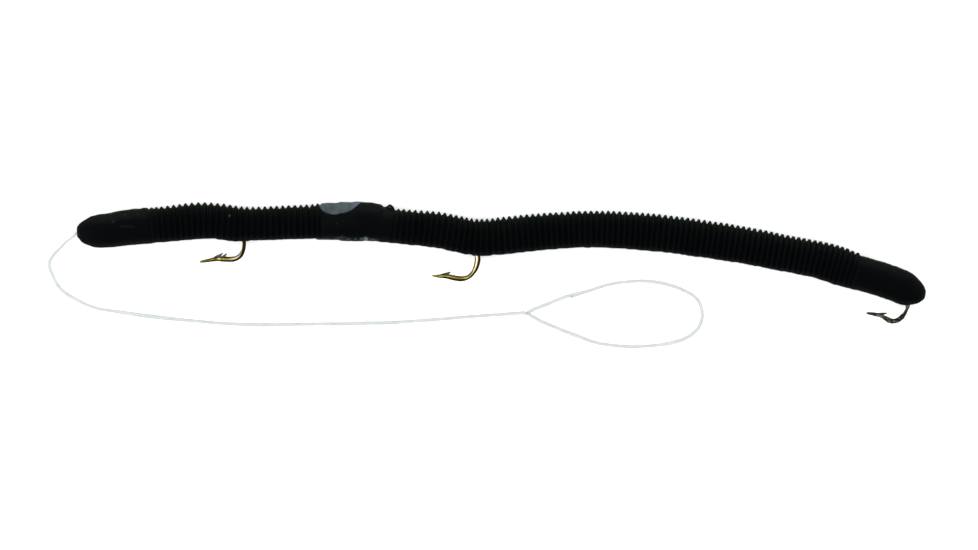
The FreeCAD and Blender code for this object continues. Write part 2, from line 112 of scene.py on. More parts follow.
# Outline of the belly, nose to tail: X, Y
BELLY = table("""
-72.65,7.62 -72.58,7.27 -72.59,6.91 -72.42,6.62 -72.18,6.36 -71.99,6.06 -71.77,5.78
-71.47,5.59 -71.15,5.44 -70.82,5.32 -70.47,5.23 -70.14,5.12 -69.81,4.98 -69.46,4.9
-69.11,4.88 -68.75,4.85 -68.4,4.83 -68.05,4.85 -67.69,4.88 -67.34,4.9 -66.99,4.92
-66.63,4.94 -66.28,4.96 -65.93,4.99 -65.58,5.06 -65.23,5.11 -64.88,5.15 -64.52,5.19
-64.17,5.22 -63.82,5.25 -63.47,5.3 -63.11,5.33 -62.76,5.34 -62.4,5.35 -62.05,5.39
-61.7,5.42 -61.35,5.46 -60.99,5.49 -60.64,5.52 -60.29,5.55 -59.94,5.58 -59.58,5.62
-59.23,5.68 -58.89,5.76 -58.54,5.82 -58.18,5.84 -57.83,5.84 -57.47,5.84 -57.12,5.85
-56.77,5.87 -56.42,5.92 -56.07,5.97 -55.71,5.99 -55.36,6.01 -55,6.02 -54.65,6.04
-54.3,6.12 -53.95,6.18 -53.6,6.2 -53.25,6.22 -52.89,6.23 -52.54,6.24 -52.18,6.29
-51.83,6.33 -51.48,6.36 -51.13,6.38 -50.77,6.39 -50.42,6.41 -50.06,6.43 -49.71,6.42
-49.36,6.44 -49,6.45 -48.65,6.45 -48.29,6.47 -47.95,6.41 -47.61,6.29 -47.26,6.26
-46.9,6.24 -46.55,6.21 -46.2,6.16 -45.85,6.07 -45.5,6.04 -45.14,6.03 -44.79,5.97
-44.44,5.94 -44.09,6.01 -43.74,6.06 -43.38,6.06 -43.03,6.07 -42.67,6.07 -42.32,6.1
-41.98,6.18 -41.62,6.19 -41.27,6.15 -40.91,6.15 -40.56,6.19 -40.2,6.19 -39.85,6.17
-39.5,6.18 -39.14,6.21 -38.79,6.22 -38.43,6.24 -38.08,6.25 -37.73,6.25 -37.37,6.27
-37.02,6.31 -36.66,6.31 -36.31,6.32 -35.96,6.35 -35.6,6.35 -35.25,6.35 -34.89,6.36
-34.54,6.37 -34.19,6.36 -33.83,6.36 -33.48,6.38 -33.12,6.38 -32.77,6.38 -32.41,6.4
-32.06,6.42 -31.71,6.41 -31.35,6.41 -31,6.43 -30.64,6.46 -30.29,6.47 -29.94,6.37
-29.59,6.32 -29.24,6.35 -28.88,6.34 -28.53,6.36 -28.18,6.36 -27.82,6.35 -27.47,6.34
-27.11,6.35 -26.76,6.37 -26.4,6.35 -26.05,6.27 -25.71,6.16 -25.36,6.14 -25.01,6.14
-24.65,6.12 -24.3,6.13 -23.95,6.13 -23.59,6.1 -23.24,6.09 -22.89,6.1 -22.53,6.09
-22.18,6.09 -21.83,6.14 -21.48,6.19 -21.12,6.18 -20.76,6.15 -20.41,6.12 -20.06,6.09
-19.7,6.08 -19.35,6.03 -19.02,5.91 -18.66,5.87 -18.31,5.86 -17.95,5.85 -17.6,5.83
-17.25,5.75 -16.9,5.7 -16.54,5.69 -16.19,5.69 -15.83,5.67 -15.49,5.59 -15.14,5.53
-14.78,5.51 -14.43,5.49 -14.08,5.45 -13.73,5.35 -13.38,5.31 -13.03,5.3 -12.67,5.3
-12.32,5.29 -11.97,5.26 -11.62,5.17 -11.27,5.12 -10.92,5.1 -10.57,5.05 -10.22,4.96
-9.87,4.94 -9.51,4.95 -9.16,4.89 -8.82,4.78 -8.47,4.76 -8.11,4.74 -7.77,4.66
-7.44,4.54 -7.1,4.41 -6.75,4.35 -6.41,4.28 -6.07,4.17 -5.71,4.15 -5.36,4.1
-5.02,4 -4.67,3.92 -4.33,3.82 -3.99,3.73 -3.64,3.67 -3.28,3.68 -2.93,3.68
-2.58,3.59 -2.24,3.51 -1.88,3.49 -1.53,3.48 -1.17,3.47 -0.82,3.46 -0.47,3.43
-0.11,3.42 0.24,3.43 0.6,3.45 0.94,3.56 1.29,3.63 1.65,3.62 2,3.59
2.35,3.59 2.71,3.61 3.06,3.65 3.41,3.73 3.76,3.78 4.11,3.77 4.47,3.8
4.81,3.87 5.16,3.93 5.51,3.98 5.87,4 6.22,4 6.57,4.05 6.92,4.15
7.27,4.18 7.63,4.18 7.98,4.2 8.33,4.23 8.68,4.32 9.03,4.37 9.38,4.36
9.74,4.4 10.09,4.44 10.44,4.49 10.79,4.55 11.14,4.56 11.5,4.58 11.85,4.59
12.21,4.59 12.56,4.66 12.9,4.73 13.26,4.72 13.61,4.73 13.97,4.74 14.32,4.76
14.68,4.8 15.03,4.82 15.38,4.85 15.73,4.88 16.09,4.89 16.44,4.91 16.8,4.95
17.15,4.93 17.5,4.87 17.86,4.86 18.21,4.88 18.56,4.96 18.92,4.95 19.27,4.94
19.62,4.93 19.98,4.92 20.33,4.9 20.69,4.89 21.04,4.86 21.39,4.83 21.75,4.8
22.1,4.77 22.45,4.75 22.81,4.76 23.16,4.74 23.52,4.73 23.87,4.73 24.22,4.73
24.58,4.71 24.92,4.62 25.27,4.58 25.63,4.57 25.98,4.56 26.34,4.54 26.69,4.49
27.04,4.42 27.39,4.39 27.74,4.38 28.1,4.36 28.45,4.35 28.8,4.3 29.15,4.23
29.5,4.18 29.86,4.17 30.21,4.16 30.57,4.14 30.92,4.13 31.27,4.08 31.62,3.99
31.97,3.96 32.33,3.97 32.68,3.93 33.02,3.84 33.37,3.79 33.73,3.78 34.09,3.78
34.42,3.66 34.77,3.59 35.13,3.58 35.47,3.49 35.82,3.41 36.17,3.4 36.53,3.35
36.87,3.26 37.22,3.23 37.58,3.24 37.93,3.24 38.28,3.14 38.62,3.06 38.98,3.06
39.33,3 39.68,2.92 40.03,2.88 40.37,2.77 40.72,2.7 41.07,2.68 41.43,2.66
41.78,2.6 42.12,2.51 42.48,2.49 42.83,2.49 43.18,2.39 43.52,2.32 43.88,2.32
44.23,2.32 44.58,2.23 44.92,2.11 45.27,2.1 45.61,1.99 45.96,1.94 46.31,1.85
46.65,1.76 47,1.73 47.34,1.62 47.69,1.56 48.05,1.57 48.4,1.49 48.73,1.38
49.08,1.3 49.42,1.22 49.78,1.17 50.12,1.08 50.47,1.02 50.82,0.98 51.16,0.88
51.51,0.81 51.85,0.73 52.2,0.64 52.56,0.66 52.91,0.65 53.25,0.54 53.6,0.46
53.95,0.41 54.29,0.3 54.64,0.24 54.98,0.13 55.33,0.08 55.68,0.05 56.02,-0.07
56.37,-0.12 56.72,-0.16 57.07,-0.23 57.42,-0.29 57.76,-0.39 58.1,-0.49 58.43,-0.61
58.77,-0.73 59.1,-0.84 59.44,-0.96 59.78,-1.05 60.13,-1.12 60.46,-1.24 60.79,-1.37
61.11,-1.52 61.45,-1.64 61.79,-1.74 62.14,-1.78 62.48,-1.89 62.82,-2 63.16,-2.1
63.5,-2.17 63.84,-2.29 64.19,-2.33 64.53,-2.45 64.87,-2.56 65.21,-2.66 65.56,-2.68
65.91,-2.75 66.25,-2.86 66.59,-2.96 66.93,-3.05 67.28,-3.13 67.61,-3.25 67.95,-3.36
68.29,-3.46 68.63,-3.54 68.97,-3.65 69.31,-3.75 69.63,-3.9 69.97,-4 70.32,-4.09
70.63,-4.25 70.98,-4.33 71.32,-4.42 71.65,-4.56 71.98,-4.69 72.3,-4.84 72.63,-4.99
72.97,-5.09 73.31,-5.18 73.66,-5.22 74.01,-5.26 74.36,-5.28 74.71,-5.26 75.06,-5.23
75.42,-5.19 75.77,-5.17 76.12,-5.14 76.45,-5.04 76.75,-4.86 77.06,-4.68 77.34,-4.47
77.57,-4.2 77.76,-3.9 77.92,-3.56 77.81,-3.23""")
# X, half width in Z
WIDTH = table("""
-72.65,0.02 -72.63,0.42 -72.58,0.72 -72.44,1.12 -72.08,1.68 -71.64,2.05 -71.2,2.3
-70.31,2.62 -69.07,2.9 -67.3,3.08 -65.35,3.18 -63.22,3.22 -60.92,3.24 -57.91,3.25
-54.36,3.26 -50.82,3.26 -47.28,3.26 -43.73,3.26 -41.61,3.26 -39.3,3.27 -36.64,3.28
-33.1,3.3 -30.27,3.33 -27.43,3.36 -25.13,3.37 -22.82,3.36 -20.34,3.34 -17.86,3.31
-15.38,3.29 -12.55,3.28 -9.71,3.28 -6.88,3.28 -4.39,3.28 -2.27,3.28 -0.5,3.28
1.28,3.28 3.23,3.28 6.24,3.28 9.43,3.28 12.97,3.28 16.52,3.28 20.95,3.28
25.38,3.28 29.81,3.28 34.24,3.27 38.67,3.26 43.1,3.25 47.53,3.24 51.96,3.22
56.39,3.2 59.93,3.18 63.47,3.15 67.02,3.11 70.03,3.06 72.51,2.96 74.28,2.8
75.52,2.58 76.41,2.25 77.03,1.85 77.51,1.2 77.7,0.65 77.81,0.02""")
# X, Z of the middle of the section
MIDDLE_Z = table("""
-72.62,3.74 -61.45,3.7 -49.4,3.27 -33.1,3.31 -25.13,3.99 -5.63,4.02 53.73,4.02
69.68,3.08 77.83,3.0""")
# X of each rib crest on the back, ahead of the smooth saddle and behind it
RIBS_FRONT = table("""
-60.3 -59.41 -58.55 -57.66 -56.56 -55.52 -54.47 -53.39 -52.27 -51.13 -49.96 -48.82 -47.69 -46.56
-45.45 -44.43 -43.44 -42.48 -41.45 -40.41 -39.33 -38.27 -37.23 -36.18 -35.12 -34 -32.96 -31.93
-30.93 -30.02""")[:, 0]
RIBS_REAR = table("""
-15.62 -14.66 -13.66 -12.61 -11.55 -10.5 -9.47 -8.41 -7.38 -6.33 -5.35 -4.37 -3.5 -2.63
-1.74 -0.87 0.05 0.99 1.95 2.93 3.96 4.99 6 7.05 8.1 9.11 10.16 11.21
12.24 13.29 14.32 15.34 16.38 17.41 18.47 19.49 20.49 21.52 22.48 23.54 24.61 25.63
26.61 27.6 28.61 29.59 30.6 31.65 32.71 33.72 34.66 35.64 36.63 37.57 38.6 39.59
40.53 41.56 42.57 43.54 44.53 45.54 46.54 47.49 48.52 49.48 50.49 51.43 52.42 53.38
54.35 55.32 56.27 57.23 58.21 59.19 60.22 61.23 62.2 63.08 63.99 64.94 65.81""")[:, 0]
# Trimmed gate on the saddle: X, how far below the back it reaches
FACET = table("""
-29.88,0.2 -29.72,0.6 -29.20,1.24 -28.1,1.90 -26.9,2.12 -25.48,2.03 -23.99,1.47
-22.97,0.76 -22.38,0.2""")
# Each piece of skin: its two joints, X where the bend starts and ends, the CAD nodes it replaces
PIECES = [
    ("head", "front", -69.0, -57.2, ["worm_head"]),
    ("front", "saddle", -42.6, -33.6, ["worm_front"]),
    ("saddle", "mid", -27.0, -13.4, ["worm_saddle"]),
    ("mid", "rear_1", -0.35, 8.6, ["worm_mid"]),
    ("rear_1", "rear_2", 13.9, 28.3, ["worm_rear_1"]),
    ("rear_2", "rear_3", 31.4, 46.3, ["worm_rear_2"]),
    ("rear_3", "tail", 49.2, 63.8, ["worm_rear_3", "worm_tail"])]
SEAMS = [-50.64, -30.57, -8.03, 12.68, 29.98, 47.88]     # X, each moved to the nearest groove
BLEND_Z = 3.7
RIB_STEPS = 12          # rings per rib
AROUND = 108            # points per ring
FLAT_SHARE = 0.46       # widest line, as a share of the height above the belly
BACK_POWER, BELLY_POWER = 2.12, 3.9      # squareness of each half of the section

# Hooks. path: X, Y of the eye, then from the shank to the point. exit: X, Y where it leaves
# the body. thick: distance back from the point, wire radius. barbs: X, Y run, radii along
# it, steel tint. tone: distance beyond the exit, then the attributes in TONES.
# most of these paint light and shade along the wire: a cream highlight, pale-gold highlights, dark
# zones (partly wear on the worn hook), dark edges and a shift of the shaded side
TONES = ("cream", "olive", "light", "dim", "rim", "lean")
HOOKS = {
    "front": dict(
        rides="front", z=3.40, seed=1, exit=(-42.97, 5.95),
        path=table("""-58.26,9.44 -46.21,9.50 -44.57,9.16 -43.56,8.26 -43.06,7.02 -43.01,5.95
-43.06,4.89 -43.27,4.02 -43.73,3.31 -44.48,2.84 -45.33,2.71 -46.57,2.73 -47.81,2.78
-49.23,2.53 -50.84,2.25"""),
        thick=table("""0,.13 .30,.22 .8,.28 1.5,.31 2.4,.37 3.4,.43 5,.48 5.8,.48 6.4,.44
7.2,.44 7.9,.40 8.6,.36 9.4,.37 12,.38"""),
        barbs=[("-48.55,2.82 -47.90,3.10 -47.28,3.42 -46.78,3.80", [0.12, 0.28, 0.24, 0.11], 0.35),
               ("-47.05,2.88 -46.50,3.28 -46.10,3.72", [0.30, 0.26, 0.12], 1.0)],
        tone=table("""-1,1,.2,0,0,0,.38 1.6,1,.2,0,0,0,.34 2.3,1,.2,0,0,.3,.20
2.9,1,.2,.2,0,.54,.10 4,1,.2,.3,0,.54,0 4.6,.25,.3,.3,0,.54,0
5.2,0,.4,.35,0,.54,.02 6.1,0,.3,.45,0,.54,.03 6.3,0,.2,.1,.5,.54,0
6.5,.55,0,.25,0,.54,-.05 6.85,.45,0,.25,0,.54,0 7.1,0,0,0,.6,.54,0
7.5,0,.6,.1,.3,.6,.05 7.8,0,1,.9,0,.6,.05 8.1,0,1,.8,0,.6,.08
8.5,0,1,.2,.05,.6,.10 9.4,0,1,.05,.1,.54,.05 10,0,.8,0,.3,.54,0""")),
    "mid": dict(
        rides="mid", z=4.00, seed=2, exit=(-1.64, 3.40),
        path=table("""-16.00,8.20 -4.47,6.17 -3.31,5.74 -2.37,4.96 -1.77,3.92 -1.61,2.71
-1.83,1.52 -2.36,0.44 -3.24,-0.41 -4.43,-0.74 -5.81,-0.58 -7.12,-0.30 -8.38,-0.27
-9.76,-0.21"""),
        thick=table("""0,.09 .5,.22 1.05,.29 1.6,.33 2.1,.38 3,.45 4.2,.48 5.6,.47 6.6,.39
7.4,.40 7.9,.39 8.5,.47 10.2,.51 14,.50"""),
        barbs=[("-8.55,-0.12 -7.75,-0.04 -7.05,0.18 -6.46,0.44", [0.10, 0.27, 0.25, 0.14], 0.45)],
        tone=table("""-1,.85,0,.3,0,1.7,.05 1,.85,0,.3,0,1.7,.05 2,.75,0,.2,0,1.7,.06
2.6,.5,0,.2,0,1.5,.06 3.2,.38,.1,.1,.15,1.3,.04 3.8,.18,.1,.1,.34,1,0
4.2,.16,0,.1,.30,.5,-.06 4.9,.18,.1,.15,.12,.4,-.04 5.3,.1,.8,.6,0,.8,.10
7.4,.1,.6,.6,0,.7,.12 8.6,0,.8,.5,.05,.54,.12 9.4,0,.9,.9,0,.4,.02
10.9,0,.9,.9,0,.3,0""")),
    "rear": dict(
        rides="tail", z=3.20, seed=3, exit=(74.60, -5.30),
        path=table("""60.70,2.55 71.98,-1.26 73.27,-1.90 74.12,-2.85 74.53,-4.06 74.60,-5.30
74.41,-6.17 74.05,-6.88 73.48,-7.55 72.74,-8.10 72.01,-8.26 71.16,-8.03 69.92,-7.35
68.79,-7.03 67.25,-6.80"""),
        thick=table("""0,.14 .36,.25 .9,.27 1.5,.33 2.3,.33 3.2,.38 4.3,.46 5.2,.43 6.2,.43
6.8,.46 7.4,.36 8,.29 8.4,.24 8.8,.36 9.4,.40 11,.40"""),
        barbs=[("67.90,-6.88 68.61,-7.02 69.41,-7.05 70.16,-6.94 70.86,-6.84",
                [0.06, 0.20, 0.28, 0.22, 0.11], 0.0)],
        tone=table("""-1,0,0,.7,.2,0,0 .7,0,0,.7,.2,0,0 1,0,0,0,.55,0,0 1.7,0,0,0,.35,0,0
2.4,0,0,0,0,0,0 6.2,0,0,0,.2,0,0 6.6,0,0,.8,0,0,0 7,0,0,.5,.1,0,0
7.5,0,0,0,.55,0,0 8.2,0,0,0,.7,0,0 12,0,0,0,.85,0,0""")),
}
EYE_R, EYE_WIRE_R = 0.74, 0.30

# Leader: X, Y, Z from the nose down to the floor, then X, Y along the floor
LINE_R = 0.300
NOSE_RUN = table("""
-71.2,7.62,3.74 -72.62,7.42,3.72 -73.15,6.86,3.5 -74.39,5.92,2.8 -75.8,4.57,1.66
-77.05,3.29,0.78 -77.59,2.33,0.36""")
FLOOR_RUN = table("""
-77.64,1.59 -77.13,0.06 -76.45,-1.38 -75.5,-2.67 -74.23,-3.63 -72.83,-4.4 -71.41,-5.15
-69.94,-5.77 -68.39,-6.16 -66.81,-6.39 -65.23,-6.62 -63.65,-6.86 -62.07,-7.11 -60.49,-7.33
-58.9,-7.5 -57.32,-7.69 -55.73,-7.86 -54.14,-8.01 -52.55,-8.16 -50.96,-8.29 -49.38,-8.45
-47.78,-8.6 -46.19,-8.71 -44.59,-8.77 -43,-8.84 -41.4,-8.9 -39.81,-8.91 -38.21,-8.9
-36.61,-8.86 -35.02,-8.82 -33.42,-8.8 -31.82,-8.78 -30.23,-8.76 -28.63,-8.75 -27.04,-8.75
-25.44,-8.74 -23.85,-8.72 -22.25,-8.64 -20.65,-8.59 -19.06,-8.59 -17.46,-8.53 -15.87,-8.44
-14.27,-8.34 -12.68,-8.23 -11.09,-8.12 -9.49,-8 -7.9,-7.88 -6.31,-7.73 -4.72,-7.59
-3.13,-7.47 -1.54,-7.35 0.05,-7.23 1.64,-7.12 3.23,-7.01 4.82,-6.89 6.77,-6.76""")
# Loop and its cut end on the floor: X, Y
LOOP = table("""
7.25,-6.94 7.99,-7.37 9.22,-8.09 10.51,-8.68 11.82,-9.22 13.13,-9.76 14.45,-10.29
15.78,-10.79 17.09,-11.31 18.43,-11.79 19.81,-12.17 21.21,-12.41 22.62,-12.58 24.03,-12.72
25.45,-12.8 26.88,-12.76 28.3,-12.68 29.71,-12.57 31.13,-12.41 32.53,-12.16 33.92,-11.81
35.27,-11.27 36.5,-10.49 37.52,-9.41 38.12,-8.04 38.17,-6.56 37.81,-5.16 36.95,-3.99
35.74,-3.21 34.46,-2.6 33.14,-2.08 31.78,-1.68 30.4,-1.39 28.99,-1.2 27.58,-1.13
26.17,-1.18 24.76,-1.28 23.36,-1.44 21.97,-1.69 20.61,-2.06 19.27,-2.5 17.92,-2.93
16.53,-3.27 15.15,-3.56 13.8,-3.99 12.49,-4.5 11.18,-5.04 9.86,-5.57 8.54,-6.05
7.28,-6.71""")
LOOP_TAG = table("20.10,-2.30 18.60,-2.78 17.30,-3.22 16.20,-3.62 15.30,-3.95 14.98,-4.12")
# Line radius as a share of LINE_R: every RUN_PITCH along the leader, and evenly round the loop
RUN_PITCH = 4.25
RUN_SHARES = [0.80, 0.94, 1.01, 1.0, 0.90, 0.97, 1.24, 1.22, 1.04, 0.88, 0.96, 1.12, 1.0, 0.96,
              1.0, 1.03, 1.09, 1.0, 0.96, 0.96, 0.96, 0.98, 1.02]
LOOP_SHARES = [1.0, 1.02, 1.14, 0.93, 0.97, 0.90, 1.06, 1.10, 1.05, 0.98, 1.07, 1.0, 0.84, 0.96,
               1.0, 1.0, 1.04]


# ---------------------------------------------------------------- small tools
def walk(points):
    """Distance walked along the points."""
    return np.concatenate([[0], np.cumsum(np.linalg.norm(np.diff(points, axis=0), axis=1))])


def nearest(points, target):
    return int(np.argmin(((points - target) ** 2).sum(1)))


def with_z(points, z):
    return np.column_stack([points, np.full(len(points), z)])


def smooth_table(x, y, where):
    """Smooth curve through the points that never overshoots."""
    step = np.diff(x)
    slope = np.diff(y) / step
    grade = np.zeros_like(y)
    for i in range(1, len(x) - 1):
        if slope[i - 1] * slope[i] > 0:
            before, after = 2 * step[i] + step[i - 1], step[i] + 2 * step[i - 1]
            grade[i] = (before + after) / (before / slope[i - 1] + after / slope[i])
    grade[0], grade[-1] = slope[0], slope[-1]
    i = np.clip(np.searchsorted(x, where, side="right") - 1, 0, len(x) - 2)
    t = (where - x[i]) / step[i]
    return ((1 + 2 * t) * (1 - t) ** 2 * y[i] + t * (1 - t) ** 2 * step[i] * grade[i]
            + t * t * (3 - 2 * t) * y[i + 1] + t * t * (t - 1) * step[i] * grade[i + 1])


def curve_points(points, step):
    """Evenly spaced points along a smooth (centripetal) curve through the given points."""
    padded = np.vstack([2 * points[0] - points[1], points, 2 * points[-1] - points[-2]])
    curve = []
    for i in range(1, len(padded) - 2):
        four = padded[i - 1:i + 3]
        knots = [0.0]
        for a, b in zip(four, four[1:]):
            knots.append(knots[-1] + max(1e-6, np.linalg.norm(b - a)) ** 0.5)
        for t in np.linspace(knots[1], knots[2], 24, endpoint=False):
            level = list(four)
            # each pass merges neighbours; the middle span is used from the second pass on
            for reach in (1, 2, 3):
                merged = []
                for j in range(len(level) - 1):
                    lo, hi = (knots[1], knots[2]) if reach == 3 else (knots[j], knots[j + reach])
                    merged.append((hi - t) / (hi - lo) * level[j]
                                  + (t - lo) / (hi - lo) * level[j + 1])
                level = merged
            curve.append(level[0])
    curve = np.array(curve + [points[-1]])
    walked = walk(curve)
    even = np.linspace(0, walked[-1], max(2, int(round(walked[-1] / step)) + 1))
    return np.stack([np.interp(even, walked, column) for column in curve.T], 1)


def smoothstep(start, end, x):
    t = np.clip((x - start) / (end - start), 0, 1)
    return t * t * (3 - 2 * t)


def lattice(ix, iy, iz, seed):
    """Repeatable random value, -1 to 1, for each whole-numbered cell."""
    h = (ix * 374761393 + iy * 668265263 + iz * 2147483647 + seed * 1274126177) & 0xFFFFFFFF
    h = ((h ^ (h >> 13)) * 1274126177) & 0xFFFFFFFF
    h = (h ^ (h >> 16)) & 0xFFFFFFFF
    return h / 2147483647.5 - 1.0


def lumps(points, size, seed):
    """Smooth value noise, -1 to 1, with lumps of about the given size."""
    scaled = points / size
    cell = np.floor(scaled)
    i = cell.astype(np.int64)
    t = scaled - cell
    t = t * t * (3 - 2 * t)
    total = np.zeros(len(scaled))
    for corner in np.ndindex(2, 2, 2):
        x, y, z = (t[:, k] if corner[k] else 1 - t[:, k] for k in range(3))
        total += x * y * z * lattice(*(i + corner).T, seed)
    return total


def place(points):
    return (points + SHIFT) * 0.001


def make_object(name, verts, faces, material, slot, normals=None, flat_faces=0, attributes={}):
    """Mesh from millimetre points. normals: one per vertex; the last flat_faces stay flat."""
    mesh = bpy.data.meshes.new(name)
    mesh.from_pydata(place(verts).tolist(), [], faces)
    mesh.validate()
    mesh.update()
    for key, values in attributes.items():
        attribute = mesh.attributes.new(key, "FLOAT", "POINT")
        attribute.data.foreach_set("value", np.asarray(values, np.float32))
    first_flat = len(mesh.polygons) - flat_faces
    mesh.polygons.foreach_set("use_smooth", np.arange(len(mesh.polygons)) < first_flat)
    if normals is not None:
        corners = np.zeros(len(mesh.loops), np.int32)
        mesh.loops.foreach_get("vertex_index", corners)
        per_corner = normals[corners]
        for face in list(mesh.polygons)[first_flat:]:
            for k in face.loop_indices:
                per_corner[k] = face.normal
        mesh.normals_split_custom_set([tuple(v) for v in per_corner])
    obj = bpy.data.objects.new(name, mesh)
    bpy.context.scene.collection.objects.link(obj)
    mesh.materials.append(material)
    return obj


# ---------------------------------------------------------------- materials
class Shader:
    """Nodes round one Principled shader. Most methods return an output socket."""

    def __init__(self, name):
        self.material = bpy.data.materials.new(name)
        self.material.use_nodes = True
        self.tree = self.material.node_tree
        self.tree.nodes.clear()
        output = self.add("OutputMaterial")
        self.bsdf = self.add("BsdfPrincipled")
        self.feed(output.inputs["Surface"], self.bsdf.outputs[0])

    def add(self, kind, **settings):
        node = self.tree.nodes.new("ShaderNode" + kind)
        for key, value in settings.items():
            setattr(node, key, value)
        return node

    def feed(self, socket, value):
        """Link an output to the input socket, or set it to a number or colour."""
        if isinstance(value, bpy.types.NodeSocket):
            self.tree.links.new(value, socket)
        else:
            socket.default_value = (*value, 1) if isinstance(value, tuple) else value

    def set(self, key, value):
        self.feed(self.bsdf.inputs[key], value)

    def noise(self, scale, detail, rough, stretch=None):
        node = self.add("TexNoise")
        node.inputs["Scale"].default_value = scale
        node.inputs["Detail"].default_value = detail
        node.inputs["Roughness"].default_value = rough
        source = self.add("TexCoord").outputs["Object"]
        if stretch is not None:
            mapping = self.add("Mapping")
            mapping.inputs["Scale"].default_value = stretch
            self.feed(mapping.inputs["Vector"], source)
            source = mapping.outputs["Vector"]
        self.feed(node.inputs["Vector"], source)
        return node.outputs["Fac"]

    def ramp(self, value, *stops):
        """Each stop is (position, grey level)."""
        node = self.add("ValToRGB")
        while len(node.color_ramp.elements) < len(stops):
            node.color_ramp.elements.new(0.5)
        for element, (position, grey) in zip(node.color_ramp.elements, stops):
            element.position = position
            element.color = (grey, grey, grey, 1)
        self.feed(node.inputs["Fac"], value)
        return node.outputs["Color"]

    def mix(self, share, first, second):
        """Colour running from first to second as share goes from 0 to 1."""
        node = self.add("Mix", data_type="RGBA")
        for key, value in ((0, share), (6, first), (7, second)):
            self.feed(node.inputs[key], value)
        return node.outputs[2]

    def math(self, operation, *values):
        node = self.add("Math", operation=operation)
        for socket, value in zip(node.inputs, (*values, 0.0, 0.0)):
            self.feed(socket, value)
        return node.outputs[0]

    def times(self, first, second):
        return self.math("MULTIPLY", first, second)

    def clamp(self, value):
        return self.math("MINIMUM", self.math("MAXIMUM", value, 0.0), 1.0)

    def attribute(self, name):
        return self.add("Attribute", attribute_name=name).outputs["Fac"]

    def facing(self):
        node = self.add("LayerWeight")
        node.inputs["Blend"].default_value = 0.5
        return node.outputs["Facing"]

    def normal(self, axis):
        source = self.add("NewGeometry").outputs["Normal"]
        node = self.add("SeparateXYZ")
        self.feed(node.inputs[0], source)
        return node.outputs[axis]

    def bump(self, height, distance, strength):
        node = self.add("Bump")
        node.inputs["Strength"].default_value = strength
        node.inputs["Distance"].default_value = distance
        self.feed(node.inputs["Height"], height)
        self.set("Normal", node.outputs["Normal"])


def worm_material():
    mat = Shader("worm_plastic")
    fine = mat.noise(scale=1400, detail=4, rough=0.6)
    broad = mat.noise(scale=160, detail=3, rough=0.5)
    body = mat.mix(mat.ramp(broad, (0.3, 0), (0.75, 1)),
                   (0.0013, 0.0018, 0.0020), (0.0028, 0.0033, 0.0034))
    # painted rim light: an olive glow where the back turns away from view
    edge = mat.times(mat.ramp(mat.facing(), (0.46, 0), (0.76, 1)),
                     mat.clamp(mat.times(mat.normal("Y"), 1.6)))
    edge = mat.times(edge, mat.ramp(mat.noise(scale=300, detail=3, rough=0.6),
                                    (0.30, 0.45), (0.62, 1)))
    body = mat.mix(edge, body, (0.0062, 0.0140, 0.0006))
    # painted light: surfaces that don't face up are painted a slightly paler black, so the form
    # shows from the side
    painted_side_light = mat.times(mat.ramp(mat.normal("Z"), (0.02, 1), (0.27, 0)),
                     mat.ramp(mat.noise(scale=240, detail=4, rough=0.6), (0.25, 0.55), (0.7, 1)))
    body = mat.mix(painted_side_light, body, (0.0200, 0.0236, 0.0244))
    # dull grey facet of the trimmed gate, mottled and bluer towards the tail: partly the cut
    # face's own matte grey, partly a painted reflection
    patch = mat.attribute("patch")
    facet_grey_and_sheen = mat.mix(mat.ramp(mat.noise(scale=420, detail=6, rough=0.72), (0.40, 0), (0.60, 1)),
                      (0.036, 0.050, 0.053), (0.074, 0.094, 0.098))
    facet_grey_and_sheen = mat.mix(mat.attribute("cool"), facet_grey_and_sheen, (0.078, 0.094, 0.118))
    body = mat.mix(patch, body, facet_grey_and_sheen)
    # pale patches, and specks of dust pressed into the surface together with painted highlights
    pale = mat.times(mat.attribute("pale"), mat.ramp(mat.noise(scale=1500, detail=4, rough=0.6),
                                                     (0.30, 0.55), (0.6, 1)))
    body = mat.mix(mat.clamp(pale), body, mat.mix(mat.ramp(pale, (0.3, 0), (0.9, 1)),
                                                  (0.10, 0.14, 0.13), (0.26, 0.31, 0.34)))
    body = mat.mix(mat.clamp(mat.attribute("speck")), body, (0.16, 0.175, 0.165))
    mat.set("Base Color", body)
    rough = mat.ramp(fine, (0.3, 0.44), (0.7, 0.60))
    mat.set("Roughness", mat.mix(patch, rough, (0.72, 0.72, 0.72)))
    # hardly any shine, and none where the surface turns away
    turned = mat.math("SUBTRACT", 1.0, mat.facing())
    mat.set("Specular IOR Level", mat.times(mat.times(turned, turned), 0.034))
    # painted glow: a faint emission, so the black never falls quite to zero
    mat.set("Emission Color", (0.0006, 0.0009, 0.0011))
    mat.set("Emission Strength", 1.0)
    grain = mat.times(fine, 0.5)
    coarse = mat.times(mat.noise(scale=420, detail=3, rough=0.5), 0.9)
    mat.bump(mat.math("ADD", grain, coarse), distance=0.00004, strength=0.55)
    return mat.material


def bronze_colour(mat, blotch, turn):
    """Blotched, worn brown with pale flecks and tan patches; painted shade darkens the side turned
    towards the tail and belly, and darker zones along the wire are partly wear, partly painted
    shade.
    """
    colour = mat.mix(mat.ramp(mat.noise(scale=1300, detail=5, rough=0.7), (0.43, 0), (0.51, 1)),
                     (0.105, 0.076, 0.052), (0.006, 0.005, 0.004))
    flecks = mat.noise(scale=1900, detail=5, rough=0.7, stretch=(1, 1.3, 1))
    colour = mat.mix(mat.ramp(flecks, (0.555, 0), (0.60, 1)), colour, (0.30, 0.25, 0.17))
    light = mat.times(mat.attribute("light"), mat.ramp(blotch, (0.35, 0), (0.55, 1)))
    colour = mat.mix(mat.clamp(light), colour, (0.34, 0.32, 0.24))
    # painted shade: dark on the side turned towards the tail and belly
    colour = mat.mix(mat.ramp(turn, (0.70, 0), (0.90, 1)), colour, (0.010, 0.008, 0.007))
    # dark zones along the wire: partly wear, partly painted shade
    return mat.mix(mat.clamp(mat.attribute("dim")), colour, (0.014, 0.010, 0.008))


